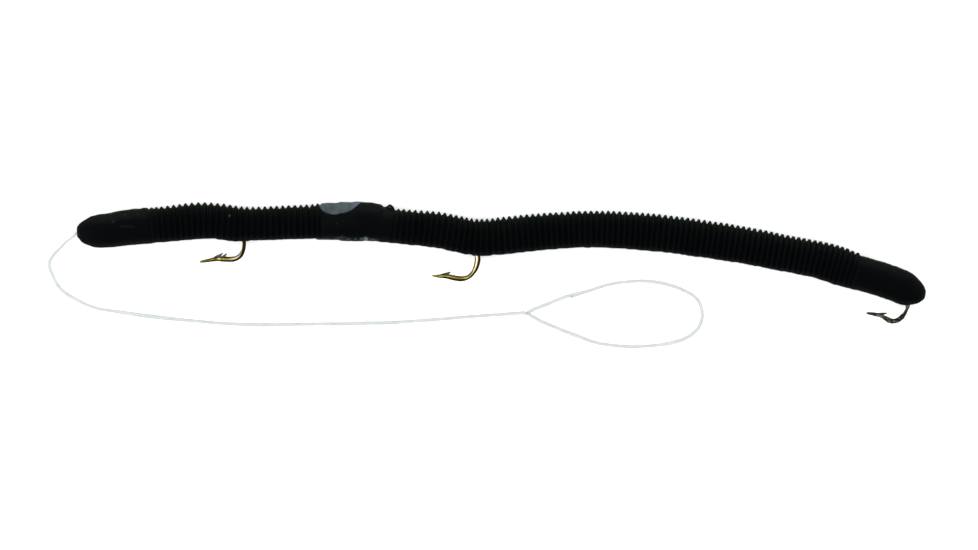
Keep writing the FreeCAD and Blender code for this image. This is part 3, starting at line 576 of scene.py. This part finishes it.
def gold_colour(mat, blotch, turn):
    """Gold with a painted pale highlight strip, painted dark edges, a painted dark side, and
    painted light and dark zones along the wire.
    """
    colour = mat.mix(mat.attribute("olive"), (0.46, 0.29, 0.022), (0.26, 0.235, 0.008))
    # painted highlight: paler gold where the light tone is high
    colour = mat.mix(mat.attribute("light"), colour, (0.66, 0.58, 0.10))
    colour = mat.mix(mat.ramp(blotch, (0.42, 0), (0.60, 0.65)), colour, (0.13, 0.088, 0.006))
    # painted highlight: a cream strip on the side picked out by the turn
    band = mat.ramp(turn, (0.14, 0), (0.26, 1), (0.46, 1), (0.57, 0))
    cream = mat.clamp(mat.times(band, mat.attribute("cream")))
    colour = mat.mix(cream, colour, (1.0, 0.93, 0.68))
    # painted shade: dark edges where the wire turns away from view
    rim = mat.times(mat.facing(), mat.math("MULTIPLY_ADD", mat.attribute("rim"), 1.3, 0.3))
    colour = mat.mix(mat.ramp(rim, (0.34, 0), (0.66, 1)), colour, (0.034, 0.024, 0.006))
    # painted shade: dark on the side turned towards the tail and belly
    colour = mat.mix(mat.ramp(turn, (0.53, 0), (0.68, 1)), colour, (0.016, 0.009, 0.002))
    # painted shade: dark zones along the wire
    colour = mat.mix(mat.clamp(mat.attribute("dim")), colour, (0.040, 0.016, 0.003))
    return mat.mix(mat.clamp(mat.attribute("steel")), colour, (0.105, 0.135, 0.140))


def hook_material(name, colour, metallic, rough_stops, bump_distance):
    mat = Shader(name)
    grain = mat.noise(scale=2600, detail=4, rough=0.65)
    blotch = mat.noise(scale=900, detail=4, rough=0.65)
    # how far the surface turns towards the tail and belly, 0 to 1: painted shade falls on that
    # side, and the painted highlight is placed by it
    source = mat.add("NewGeometry").outputs["Normal"]
    dot = mat.add("VectorMath", operation="DOT_PRODUCT")
    mat.feed(dot.inputs[0], source)
    dot.inputs[1].default_value = (0.85, -0.58, 0.0)
    turn = mat.math("ADD", mat.math("MULTIPLY_ADD", dot.outputs["Value"], 0.5, 0.5),
                    mat.attribute("lean"))
    mat.set("Base Color", colour(mat, blotch, turn))
    mat.set("Metallic", metallic)
    mat.set("Roughness", mat.ramp(grain, *rough_stops))
    mat.bump(mat.math("ADD", grain, blotch), distance=bump_distance, strength=0.6)
    return mat.material


def line_material(name, lift):
    mat = Shader(name)
    low, high = (tuple(c * lift for c in tint)
                 for tint in ((0.615, 0.652, 0.649), (0.686, 0.724, 0.721)))
    cloud = mat.ramp(mat.noise(scale=700, detail=3, rough=0.5), (0.3, 0), (0.7, 1))
    mat.set("Base Color", mat.mix(cloud, low, high))
    mat.set("Roughness", 0.22)
    mat.set("Transmission Weight", 0.12)
    mat.set("IOR", 1.45)
    mat.bump(mat.noise(scale=1800, detail=2, rough=0.5), distance=0.00001, strength=0.4)
    return mat.material


WORM = worm_material()
GOLD = hook_material("hook_gold", gold_colour, metallic=1.0,
                     rough_stops=((0.3, 0.26), (0.75, 0.44)), bump_distance=0.00002)
BRONZE = hook_material("hook_bronze", bronze_colour, metallic=0.8,
                       rough_stops=((0.3, 0.45), (0.7, 0.7)), bump_distance=0.00006)
MONO = line_material("mono_line", lift=1.0)
# the knot's line material is painted 15% paler, to lift the shade between its tight turns
MONO_KNOT_PAINTED_PALER = line_material("mono_line_knot", lift=1.15)


# ---------------------------------------------------------------- body: centreline and rings
def outline(points):
    walked = walk(points)
    fine = np.linspace(0, walked[-1], 5200)
    return np.stack([smooth_table(walked, points[:, k], fine) for k in (0, 1)], 1)


back_line, belly_line = outline(BACK), outline(BELLY)
NOSE, TAIL = np.array([-72.655, 7.72]), np.array([77.82, -3.06])
centre_x = np.arange(-71.9, 76.6, 0.1)
centre_y = (np.interp(centre_x, back_line[:, 0], back_line[:, 1])
            + np.interp(centre_x, belly_line[:, 0], belly_line[:, 1])) / 2
kernel = np.exp(-0.5 * (np.arange(-90, 91) / 30.0) ** 2)
centre_y = np.convolve(np.pad(centre_y, 90, mode="reflect", reflect_type="odd"),
                       kernel / kernel.sum(), mode="valid")
centre = np.vstack([NOSE, np.stack([centre_x, centre_y], 1), TAIL])
length = walk(centre)
TOTAL = length[-1]


def centre_at(station):
    """X, Y of the centreline at distances along it, and its direction there."""
    def point(where):
        return np.stack([np.interp(where, length, centre[:, k]) for k in (0, 1)], -1)
    ease = 1.6
    run = point(np.clip(station + ease, 0, TOTAL)) - point(np.clip(station - ease, 0, TOTAL))
    return point(station), run / np.linalg.norm(run, axis=-1, keepdims=True)


def station_at(x):
    return float(np.interp(x, centre[:, 0], length))


def reach(points, direction, line, sign):
    """Distance square to the centreline out to an outline, and the X where it is met."""
    square = np.stack([-direction[:, 1], direction[:, 0]], 1) * sign
    distance, hit_x = np.zeros(len(points)), np.zeros(len(points))
    for i in range(len(points)):
        along = (line - points[i]) @ direction[i]
        j = max(int(np.argmax(along > 0)) if along[-1] > 0 else len(line) - 1, 1)
        share = np.clip(-along[j - 1] / max(1e-9, along[j] - along[j - 1]), 0, 1)
        hit = line[j - 1] + share * (line[j] - line[j - 1])
        distance[i] = max(0.004, (hit - points[i]) @ square[i])
        hit_x[i] = hit[0]
    return distance, hit_x


probe = np.linspace(0.02, TOTAL - 0.02, 1500)
probe_x = np.maximum.accumulate(reach(*centre_at(probe), back_line, 1)[1])


def rib_stations(crest_x):
    """Crest stations with one more at either end, their numbers, and the rings across them."""
    crests = np.interp(crest_x, probe_x, probe)
    crests = np.concatenate([[2 * crests[0] - crests[1]], crests, [2 * crests[-1] - crests[-2]]])
    numbers = np.arange(-1, len(crest_x) + 1)
    phase = np.arange(-0.5, len(crest_x) - 0.5 + 1e-6, 1 / RIB_STEPS)
    return crests, numbers, np.interp(phase, numbers, crests)


def graded(start, end):
    """Stations from start to end, finest at the start."""
    stations, step, widest = [start], 0.03, 0.24
    while stations[-1] + step < end - 0.5 * widest:
        stations.append(stations[-1] + step)
        step = min(widest, step * 1.16)
    return np.array(stations)


front_ribs, rear_ribs = rib_stations(RIBS_FRONT), rib_stations(RIBS_REAR)
front_rings, rear_rings = front_ribs[2], rear_ribs[2]
saddle_start, saddle_end = front_rings[-1], rear_rings[0]
saddle_rings = np.linspace(saddle_start, saddle_end,
                           int((saddle_end - saddle_start) / 0.19) + 1)[1:-1]
station = np.concatenate([graded(0.012, front_rings[0]), front_rings, saddle_rings, rear_rings,
                          TOTAL - graded(0.012, TOTAL - rear_rings[-1])[::-1]])
mid, tangent = centre_at(station)
mid_x = mid[:, 0]
to_back = np.stack([-tangent[:, 1], tangent[:, 0]], 1)
from_end = np.minimum(station, TOTAL - station)
back_reach = reach(mid, tangent, back_line, 1)[0]
belly_reach = reach(mid, tangent, belly_line, -1)[0]
# small allowances on the outlines, more under the saddle
back_reach -= 0.020 * smoothstep(0.3, 4.0, from_end)
belly_reach += (0.084 + 0.10 * smoothstep(-30.6, -30.0, mid_x)
                * (1 - smoothstep(-20.4, -18.5, mid_x))) * smoothstep(0.3, 4.0, from_end)
half_width = smooth_table(WIDTH[:, 0], WIDTH[:, 1], mid_x)
knot_x, knot_z = MIDDLE_Z.T
span = np.clip(np.searchsorted(knot_x, mid_x, side="right") - 1, 0, len(knot_x) - 2)
mid_z = knot_z[span] + (knot_z[span + 1] - knot_z[span]) * smoothstep(
    knot_x[span], knot_x[span + 1], mid_x)

# section rings: offset towards the back and up (z)
angle = np.linspace(0, 2 * np.pi, 480, endpoint=False)
cosine, sine = np.cos(angle), np.sin(angle)
power = np.where(sine >= 0, BACK_POWER, BELLY_POWER)
unit_z = np.sign(cosine) * np.abs(cosine) ** (2 / power)
unit_back = np.sign(sine) * np.abs(sine) ** (2 / power)
shape = (len(station), AROUND)
ring_z, ring_back = np.zeros(shape), np.zeros(shape)
for i in range(len(station)):
    widest = -belly_reach[i] + FLAT_SHARE * (back_reach[i] + belly_reach[i])
    z = half_width[i] * unit_z
    back = widest + np.where(sine >= 0, back_reach[i] - widest,
                             widest + belly_reach[i]) * unit_back
    z, back = np.append(z, z[0]), np.append(back, back[0])
    walked = np.concatenate([[0], np.cumsum(np.hypot(np.diff(z), np.diff(back)))])
    even = np.linspace(0, walked[-1], AROUND, endpoint=False)
    ring_z[i], ring_back[i] = np.interp(even, walked, z), np.interp(even, walked, back)
step_z = np.roll(ring_z, -1, 1) - np.roll(ring_z, 1, 1)
step_back = np.roll(ring_back, -1, 1) - np.roll(ring_back, 1, 1)
step = np.hypot(step_z, step_back) + 1e-9
out_z, out_back = step_back / step, -step_z / step          # outward in the section plane


def to_space(back, z):
    """Points in space from offsets in the section planes."""
    return np.stack([mid_x[:, None] + to_back[:, None, 0] * back,
                     mid[:, None, 1] + to_back[:, None, 1] * back, mid_z[:, None] + z], -1)


base = to_space(ring_back, ring_z)
base_points = base.reshape(-1, 3)

# ---------------------------------------------------------------- body: relief
depth, groove = np.zeros(len(station)), np.zeros(len(station))
rng = np.random.RandomState(7)


def cut_gaps(ribs, first_depths, last_depths):
    """Grooves between ribs, with set depths for the first and last ones."""
    crests, numbers, rings = ribs
    start, end = rings[0], rings[-1]
    gap_depth = 0.58 * (1 + 0.06 * rng.randn(len(numbers) + 1))
    gap_depth[:len(first_depths)] = first_depths
    gap_depth[-len(last_depths):] = last_depths
    inside = (station >= start - 1e-9) & (station <= end + 1e-9)
    x = mid_x[inside]
    phase = np.interp(station[inside], crests, numbers)
    # gaps narrow towards the tail
    thin = 1.0 + 0.5 * smoothstep(-15.0, 40.0, x) + 0.9 * smoothstep(40.0, 56.0, x)
    wave = (0.5 - 0.5 * np.cos(2 * np.pi * (phase - np.floor(phase)))) ** thin
    which = np.clip(np.floor(phase).astype(int) + 1, 0, len(numbers))
    groove[inside] = wave
    depth[inside] = wave * gap_depth[which] * (0.95 - 0.05 * smoothstep(32, 44, x))
    # run out softly into the smooth parts
    before = (station < start) & (station > start - 0.36)
    after = (station > end) & (station < end + 0.5)
    depth[before] = gap_depth[0] * smoothstep(start - 0.36, start, station[before])
    depth[after] = gap_depth[which[-1]] * (1 - smoothstep(end, end + 0.5, station[after]))


cut_gaps(front_ribs, [0.03, 0.26, 0.30, 0.40, 0.50], [0.50, 0.40, 0.22, 0.10])
cut_gaps(rear_ribs, [0.30, 0.44, 0.50],
         [0.56, 0.55, 0.54, 0.53, 0.52, 0.50, 0.50, 0.49, 0.47, 0.44, 0.40, 0.36, 0.32, 0.22])
above_belly = ring_back + belly_reach[:, None]
relief = -depth[:, None] * smoothstep(0.10, 0.75, above_belly)       # none on the flat belly

# the belly face is slightly hollow; soft waves all over
belly = (1 - smoothstep(0.0, 0.25, above_belly)) * np.clip(half_width[:, None] / 3.2, 0, 1)
hollow = np.clip(1 - (ring_z / np.maximum(half_width[:, None], 0.3)) ** 2, 0, 1)
relief += (0.07 - 0.05 * hollow) * belly * smoothstep(0.4, 2.2, from_end)[:, None]
waves = sum(height * lumps(base_points, size, seed)
            for height, size, seed in ((0.035, 3.1, 3), (0.022, 1.3, 4), (0.010, 0.45, 5)))
relief += np.clip(from_end / 2.0, 0.05, 1)[:, None] * waves.reshape(shape)


def distance_from(x, y, z):
    """Distance from the surface point nearest to x, y, z."""
    spot = base_points[nearest(base_points, np.array([x, y, z]))]
    return np.sqrt(((base_points - spot) ** 2).sum(1)).reshape(shape)


# Bumps, and dents where height < 0: X, Y, Z, radius, height, sharpness
BUMPS = [
    # curled nodule behind the saddle
    (-17.03, 12.0, 4.3, 0.58, 0.56, 3), (-17.50, 11.75, 5.3, 0.42, 0.30, 3),
    (-16.64, 11.7, 5.2, 0.44, 0.44, 3), (-17.15, 11.60, 5.7, 0.24, -0.26, 2),
    # small pimples on the upper side
    (-45.55, 10.40, 8.5, 0.20, 0.10, 2), (-66.35, 9.42, 8.5, 0.25, 0.05, 2),
    (-26.46, 9.06, 8.5, 0.25, 0.04, 2), (-63.9, 9.39, 8.5, 0.30, 0.04, 2),
    # the line's hole in the nose, and the swellings beside it
    (-72.7, 7.60, 3.74, 0.34, -0.42, 2), (-72.4, 8.2, 3.9, 0.4, 0.08, 2),
    (-72.4, 6.6, 3.6, 0.4, 0.08, 2)]
for x, y, z, radius, height, sharp in BUMPS:
    relief += height * np.exp(-(distance_from(x, y, z) / radius) ** sharp)
# slit across the nose
relief -= 0.30 * (np.exp(-((base[..., 1] - 7.72) / 0.15) ** 2) * (base[..., 0] < -71.8)
                  * np.exp(-((base[..., 2] - 3.74) / 1.1) ** 4))
# torn lips where the hooks come out
torn = 1 + 0.5 * lumps(base_points, 0.5, 11).reshape(shape)
for hook in HOOKS.values():
    away = distance_from(*hook["exit"], hook["z"])
    relief += (0.20 * np.exp(-(away / 0.95) ** 2)
               * (1 - 1.6 * np.exp(-(away / 0.45) ** 2)) * torn)
    relief -= 0.55 * np.exp(-(away / 0.42) ** 2)
skin_back, skin_z = ring_back + out_back * relief, ring_z + out_z * relief

# flat facet of the trimmed gate on the saddle
patch = np.zeros(shape)
for i in np.where((mid_x > -31.5) & (mid_x < -21.5))[0]:
    x = mid_x[i] + to_back[i, 0] * back_reach[i]
    if not FACET[0, 0] < x < FACET[-1, 0]:
        continue
    drop = float(smooth_table(FACET[:, 0], FACET[:, 1], x))
    upper = ring_z[i] > 0
    order = np.where(upper & (ring_back[i] > -belly_reach[i] + 0.5))[0]
    order = order[np.argsort(ring_back[i][order])]
    high = back_reach[i] - 0.03
    low = max(back_reach[i] - drop * 0.95 - 0.02, 0)
    top, bottom = (np.array([np.interp(back, ring_back[i][order], ring_z[i][order]), back])
                   for back in (high, low))
    slope = (bottom - top) / (np.linalg.norm(bottom - top) + 1e-9)
    out = np.array([-slope[1], slope[0]])
    if out.sum() < 0:
        out = -out
    over = (skin_z[i] - top[0]) * out[0] + (skin_back[i] - top[1]) * out[1]
    cut = upper & (over > 0) & (skin_back[i] > low - 0.4)
    skin_z[i] = np.where(cut, skin_z[i] - out[0] * over, skin_z[i])
    skin_back[i] = np.where(cut, skin_back[i] - out[1] * over, skin_back[i])
    patch[i] = np.where(ring_z[i] > -0.25, smoothstep(low - 0.09, low + 0.07, skin_back[i]), 0.0)

skin = to_space(skin_back, skin_z)
skin_points = skin.reshape(-1, 3)
skin_x, skin_y = skin[..., 0], skin[..., 1]
upper = skin_z > 0

# ---------------------------------------------------------------- body: marks on the surface
cool = patch * smoothstep(-24.8, -23.0, skin_x)


def oval(x, y, reach_x, reach_y):
    """Distance from x, y seen from above; 1 on the rim of the oval."""
    return np.hypot((skin_x - x) / reach_x, (skin_y - y) / reach_y)


# pale ragged patches along the lower edge of the saddle
ragged = (lumps(skin_points, 0.55, 21) * 0.5 + lumps(skin_points, 0.23, 22) * 0.6).reshape(shape)
window = smoothstep(-30.3, -29.8, skin_x) * (1 - smoothstep(-20.0, -18.9, skin_x))
streak = smoothstep(-0.9, 0.5, lumps(skin_points * [1, 0.3, 0.3], 0.8, 23).reshape(shape))
edge = 1 - smoothstep(0.10, 0.42, skin_back + belly_reach[:, None] + 0.12 * ragged)
pale = 0.42 * window * streak * (skin_z > 0.1) * edge
# patches: X, Y, reach in X, reach in Y, strength
for *place_and_size, strength in (
        (-25.70, 6.48, 0.75, 0.42, 0.34), (-24.6, 6.30, 0.60, 0.22, 0.40),
        (-23.27, 6.30, 0.20, 0.20, 0.75), (-21.95, 6.24, 0.80, 0.34, 0.52),
        (-21.45, 6.40, 0.42, 0.36, 0.80), (-20.1, 6.20, 0.9, 0.16, 0.40)):
    scrap = 1 - smoothstep(0.45, 1.15, oval(*place_and_size) + 0.65 * ragged)
    pale = np.maximum(pale, strength * upper * scrap)
# bare spots: X, Y, radius
for x, y, radius in ((-24.15, 6.75, 0.36), (-22.1, 6.95, 0.34), (-22.75, 6.25, 0.16)):
    pale *= smoothstep(0.5, 1.0, oval(x, y, radius, radius))
pale *= smoothstep(1.2, 2.2, skin_z + 0.5 * ragged)

# faint haze under the facet
speck = 0.016 * np.exp(-((base[..., 0] + 25.7) / 3.0) ** 4
                       - ((base[..., 1] - 9.5) / 1.1) ** 2) * (base[..., 2] > 4.0)
# dust specks and scuffs, and painted highlights (the sheen streak on the head, the glint at the
# nose, narrow upright streaks on the ribs): X, Y, reach in X, reach in Y, strength
scuff = lumps(skin_points * [0.35, 1, 1], 0.30, 31).reshape(shape)
for *place_and_size, strength in (
        (-45.50, 10.46, 0.24, 0.26, 0.45), (-26.42, 9.04, 0.34, 0.18, 0.20),
        (-25.4, 9.40, 0.24, 0.20, 0.07), (-66.12, 9.34, 0.30, 0.26, 0.085),
        (-63.7, 8.48, 1.45, 0.22, 0.055), (-63.95, 10.68, 0.20, 0.16, 0.16),
        (-72.17, 7.10, 0.13, 0.15, 0.30), (-61.7, 10.70, 0.22, 0.20, 0.030),
        (-38.4, 7.80, 0.24, 0.20, 0.024), (-59.4, 8.88, 0.16, 0.45, 0.022),
        (-46.5, 9.76, 0.16, 0.6, 0.018), (-38.5, 9.76, 0.16, 0.6, 0.018),
        (-7.3, 7.99, 0.26, 0.20, 0.022)):
    mark = 1 - smoothstep(0.35, 1.1, oval(*place_and_size) + 0.35 * scuff)
    speck = np.maximum(speck, strength * upper * mark)
# painted highlight: a pale spot on the nodule
spot = 1 - smoothstep(0.4, 1.1, oval(-17.17, 11.90, 0.15, 0.13))
speck = np.maximum(speck, 0.9 * upper * spot)

# ---------------------------------------------------------------- body: pieces of skin
# normals of the whole skin, so that the cuts between pieces don't show
normal = np.cross(np.roll(skin, -1, 1) - np.roll(skin, 1, 1), np.gradient(skin, axis=0))
normal /= np.linalg.norm(normal, axis=2, keepdims=True) + 1e-12
outward = np.stack([to_back[:, None, 0] * out_back, to_back[:, None, 1] * out_back, out_z], -1)
if (normal * outward).sum() < 0:
    normal = -normal


def grid_faces(rows, around, closed=False):
    """Quads over rows of rings; closed joins the last row to the first."""
    row, col = np.meshgrid(np.arange(rows if closed else rows - 1), np.arange(around),
                           indexing="ij")
    here, ahead, beside = row * around, (row + 1) % rows * around, (col + 1) % around
    return np.stack([here + col, ahead + col, ahead + beside, here + beside], -1).reshape(-1, 4)


def groove_near(x):
    """Ring in the deepest groove close to x, or at x where there is none."""
    i = int(np.argmin(np.abs(station - station_at(x))))
    low = max(0, i - 7)
    around = groove[low:i + 8]
    return low + int(np.argmax(around)) if around.max() > 0.5 else i


def skin_piece(number, first, last):
    rows = last - first + 1
    verts = skin[first:last + 1].reshape(-1, 3)
    normals = normal[first:last + 1].reshape(-1, 3)
    quads = grid_faces(rows, AROUND)
    a, b, _, d = quads[len(quads) // 2]
    if np.cross(verts[b] - verts[a], verts[d] - verts[a]) @ normals[a] < 0:
        quads = quads[:, ::-1]
    faces, caps, hubs, hub_normals = quads.tolist(), [], [], []
    for row, sign, is_tip in ((0, -1.0, number == 0),
                              (rows - 1, 1.0, number == len(PIECES) - 1)):
        ring = np.arange(row * AROUND, (row + 1) * AROUND)
        hub, facing = verts[ring].mean(0), np.append(tangent[first + row] * sign, 0)
        hub_index = len(verts) + len(hubs)
        fan = [[int(i), int(j), hub_index] for i, j in zip(ring, np.roll(ring, -1))]
        start = verts[ring[0]]
        if np.cross(verts[ring[1]] - start, hub - start) @ facing < 0:
            fan = [face[::-1] for face in fan]
        (faces if is_tip else caps).extend(fan)
        hubs.append(hub)
        hub_normals.append(facing)
    marks = {"patch": patch, "pale": pale, "speck": speck, "cool": cool}
    marks = {key: np.append(v[first:last + 1].ravel(), [0.0, 0.0]) for key, v in marks.items()}
    return make_object("worm_skin_%d" % (number + 1), np.vstack([verts, hubs]), faces + caps,
                       WORM, "worm_plastic", np.vstack([normals, hub_normals]), len(caps), marks)


edges = [0] + [groove_near(x) for x in SEAMS] + [len(station) - 1]
for number, (joint_a, joint_b, start_x, end_x, nodes) in enumerate(PIECES):
    obj = skin_piece(number, edges[number], edges[number + 1])
    start, end = (tuple(place(np.append(centre_at(station_at(x))[0], BLEND_Z)))
                  for x in (start_x, end_x))
    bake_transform(obj)
    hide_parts(*nodes)


# ---------------------------------------------------------------- tubes
def tube(path, radii, around, squash_z=1.0, rough=0.0, seed=0):
    """Round tube along 3-D points, closed at both ends. Returns points and faces."""
    radii = np.broadcast_to(radii, len(path))
    along = np.gradient(path, axis=0)
    along /= np.linalg.norm(along, axis=1, keepdims=True)
    side = np.cross([0, 0, 1.0], along)
    side /= np.linalg.norm(side, axis=1, keepdims=True)
    top = np.cross(along, side)
    angle = np.linspace(0, 2 * np.pi, around, endpoint=False)[None, :, None]
    verts = (path[:, None] + radii[:, None, None]
             * (np.cos(angle) * side[:, None] + squash_z * np.sin(angle) * top[:, None]))
    verts = verts.reshape(-1, 3)
    if rough:
        core = np.repeat(path, around, axis=0)
        swell = 0.6 * lumps(verts, 0.35, seed) + 0.5 * lumps(verts, 0.17, seed + 1)
        verts = core + (verts - core) * (1 + rough * swell)[:, None]
    faces = grid_faces(len(path), around)[:, [0, 3, 2, 1]].tolist()
    hub, last = len(verts), len(verts) - around
    for i in range(around):
        j = (i + 1) % around
        faces += [[j, i, hub], [last + i, last + j, hub + 1]]
    return np.vstack([verts, path[0], path[-1]]), faces


def eye_ring(middle, steps=40, around=14):
    turn, wire = np.meshgrid(np.linspace(0, 2 * np.pi, steps, endpoint=False),
                             np.linspace(0, 2 * np.pi, around, endpoint=False), indexing="ij")
    radius = EYE_R + EYE_WIRE_R * np.cos(wire)
    ring = np.stack([radius * np.cos(turn), radius * np.sin(turn), EYE_WIRE_R * np.sin(wire)], -1)
    return middle + ring.reshape(-1, 3), grid_faces(steps, around, closed=True).tolist()


def join(parts):
    faces, offset = [], 0
    for verts, part_faces in parts:
        faces += [[i + offset for i in face] for face in part_faces]
        offset += len(verts)
    return np.vstack([verts for verts, _ in parts]), faces


# ---------------------------------------------------------------- hooks
for name, hook in HOOKS.items():
    worn = name == "rear"
    path = with_z(hook["path"], hook["z"])
    eye = path[0]
    along = (path[1] - eye) / np.linalg.norm(path[1] - eye)
    wire = curve_points(np.vstack([eye + along * EYE_R * 0.98, eye + along * 3.0, path[1:]]), 0.12)
    walked = walk(wire)
    radii = np.interp(walked[-1] - walked, *hook["thick"].T)
    parts = [tube(wire, radii, 22, rough=0.20 if worn else 0.015, seed=hook["seed"] * 10),
             eye_ring(eye)]
    body_count = sum(len(verts) for verts, _ in parts)
    steel = [np.zeros(body_count)]
    for run, radii, tint in hook["barbs"]:
        barb = curve_points(with_z(table(run), hook["z"]), 0.07)
        radii = np.interp(np.linspace(0, 1, len(barb)), np.linspace(0, 1, len(radii)), radii)
        parts.append(tube(barb, radii, 14, squash_z=0.72, rough=0.06 if worn else 0.0, seed=4))
        steel.append(np.full(len(parts[-1][0]), tint))
    verts, faces = join(parts)
    beyond = (walked[[nearest(wire, v) for v in verts]]
              - walked[nearest(wire[:, :2], np.array(hook["exit"]))])
    tone = hook["tone"].T
    marks = {key: np.interp(beyond, tone[0], column) for key, column in zip(TONES, tone[1:])}
    marks["steel"] = np.concatenate(steel)
    # barbs darker (painted shade, and wear on the worn hook) and without the painted highlight
    marks["dim"][body_count:] = 0.65
    marks["cream"][body_count:] = 0.0
    obj = make_object("hook_%s_wire" % name, verts, faces, BRONZE if worn else GOLD,
                      "hook_bronze" if worn else "hook_gold", attributes=marks)
    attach(obj, hook["rides"])
    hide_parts("hook_" + name)

# ---------------------------------------------------------------- leader
run = curve_points(np.vstack([NOSE_RUN, with_z(FLOOR_RUN, LINE_R)]), 0.22)
run[:, 2] = np.maximum(run[:, 2], LINE_R)
LEAD_JOINTS = ["leader_exit"] + ["leader_bend_%d" % i for i in range(1, 6)] + ["loop_swing"]
bends = [nearest(run, JOINT[joint] - SHIFT) for joint in LEAD_JOINTS]
splits = [0] + [(a + b) // 2 for a, b in zip(bends, bends[1:])] + [len(run) - 1]
walked = walk(run)
walked -= walked[nearest(run, NOSE_RUN[3])]
run_radii = LINE_R * np.interp(walked, RUN_PITCH * np.arange(len(RUN_SHARES)), RUN_SHARES)
for i, bend in enumerate(bends):
    piece = slice(splits[i], splits[i + 1] + 1)
    obj = make_object("leader_line_%d" % i, *tube(run[piece], run_radii[piece], 16),
                      MONO, "mono_line")
    # points either side of the joint
    span = int(np.clip(0.75 * min(bend - splits[i], splits[i + 1] - bend), 7, 36)) if i else 3
    start, end = run[max(0, bend - span)], run[min(len(run) - 1, bend + span)]
    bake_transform(obj)
    if i:
        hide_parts("leader_%d" % i)


def loop_part(name, path, radii, around, material, node):
    obj = make_object(name, *tube(path, radii, around), material, "mono_line")
    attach(obj, "loop_end")
    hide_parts(node)


loop = curve_points(with_z(LOOP, LINE_R), 0.22)
shares = np.interp(np.linspace(0, 1, len(loop)), np.linspace(0, 1, len(LOOP_SHARES)), LOOP_SHARES)
loop_part("leader_loop_line", loop, LINE_R * shares, 16, MONO, "leader_loop")
tag = curve_points(with_z(LOOP_TAG, LINE_R), 0.2)
tag_radii = np.interp(np.linspace(0, 1, len(tag)), [0, 0.25, 0.6, 1], [0.08, 0.12, 0.15, 0.19])
loop_part("leader_tag_line", tag, tag_radii, 14, MONO, "loop_tag")
# knot: three tight turns round the fork
turns = np.linspace(0, 2 * np.pi * 3.0, 110)
knot = np.stack([np.linspace(6.50, 7.16, 110), -6.86 + 0.23 * np.cos(turns),
                 0.33 + 0.20 * np.sin(turns)], 1)
loop_part("leader_knot", knot, 0.11, 12, MONO_KNOT_PAINTED_PALER, "loop_knot")

# carried-over CAD nodes inside the body
for obj in frame["nodes"].values():
    if not obj.hide_render:
        obj.data.materials.clear()
        obj.data.materials.append(MONO)

# ---------------------------------------------------------------- floor, light, camera (metres)
scene = bpy.context.scene
white = Shader("floor")
cloud = white.ramp(white.noise(scale=40, detail=2, rough=0.5), (0.3, 0), (0.7, 1))
white.set("Base Color", white.mix(cloud, (0.93, 0.935, 0.94), (0.95, 0.95, 0.95)))
white.set("Roughness", 0.9)
white.set("Specular IOR Level", 0.0)
HALF = 3.0
floor_mesh = bpy.data.meshes.new("floor")
floor_mesh.from_pydata([(-HALF, -HALF, 0), (HALF, -HALF, 0), (HALF, HALF, 0), (-HALF, HALF, 0)],
                       [], [(0, 1, 2, 3)])
floor = bpy.data.objects.new("floor", floor_mesh)
floor_mesh.materials.append(white.material)
scene.collection.objects.link(floor)


def area(name, spot, size, power, aim=(0, 0, 0), only=None):
    """Rectangular light, hidden from the camera; only: the collection it lights."""
    data = bpy.data.lights.new(name, "AREA")
    data.shape = "RECTANGLE"
    data.size, data.size_y = size
    data.energy = power
    light = bpy.data.objects.new(name, data)
    scene.collection.objects.link(light)
    light.location = spot
    light.rotation_mode = "QUATERNION"
    light.rotation_quaternion = (Vector(aim) - Vector(spot)).to_track_quat("-Z", "Y")
    light.visible_camera = False
    if only is not None:
        light.light_linking.receiver_collection = only


def receivers(name, prefix):
    group = bpy.data.collections.new(name)
    for obj in list(scene.objects):
        if obj.type == "MESH" and obj.name.startswith(prefix):
            group.objects.link(obj)
    return group


world = bpy.data.worlds.new("world")
world.use_nodes = True
background = world.node_tree.nodes["Background"]
background.inputs["Color"].default_value = (1, 1, 1, 1)
background.inputs["Strength"].default_value = 0.12
scene.world = world

area("left", spot=(-0.75, -0.10, 0.62), size=(0.5, 0.7), power=3.0)
area("right", spot=(0.75, 0.10, 0.62), size=(0.5, 0.7), power=1.4)
# long low lights on the belly and back sides, to show the form of the black plastic
only_worm = receivers("lit_worm", "worm_")
for name, spot, power in (("low_front", (-0.24, -0.55, 0.085), 1.6),
                          ("low_back", (-0.06, 0.58, 0.085), 3.6)):
    area(name, spot, size=(0.9, 0.14), power=power, aim=(0, 0, 0.003), only=only_worm)
# one overhead panel, set separately for the floor, the metal and the line
for part, prefix, power in (("floor", "floor", 33.0), ("hooks", "hook_", 11.0),
                            ("line", "leader_", 19.0)):
    area("above_" + part, spot=(0.0, 0.0, 1.2), size=(1.6, 1.5), power=power,
         only=receivers("lit_" + part, prefix))

CAMERA_HEIGHT = 2.0     # above the middle of the body
VIEW_WIDTH = 0.17330    # seen at that distance
camera_data = bpy.data.cameras.new("camera")
camera = bpy.data.objects.new("camera", camera_data)
scene.collection.objects.link(camera)
camera_data.sensor_width = 36.0
camera_data.lens = 36.0 * CAMERA_HEIGHT / VIEW_WIDTH
camera_data.clip_start, camera_data.clip_end = 0.05, 20.0
camera.location = (0.000525, -0.0001206, CAMERA_HEIGHT + 0.0030)
scene.camera = camera

scene.view_settings.view_transform = "Standard"
scene.view_settings.look = "None"
scene.view_settings.exposure = 0.0
scene.view_settings.gamma = 1.0
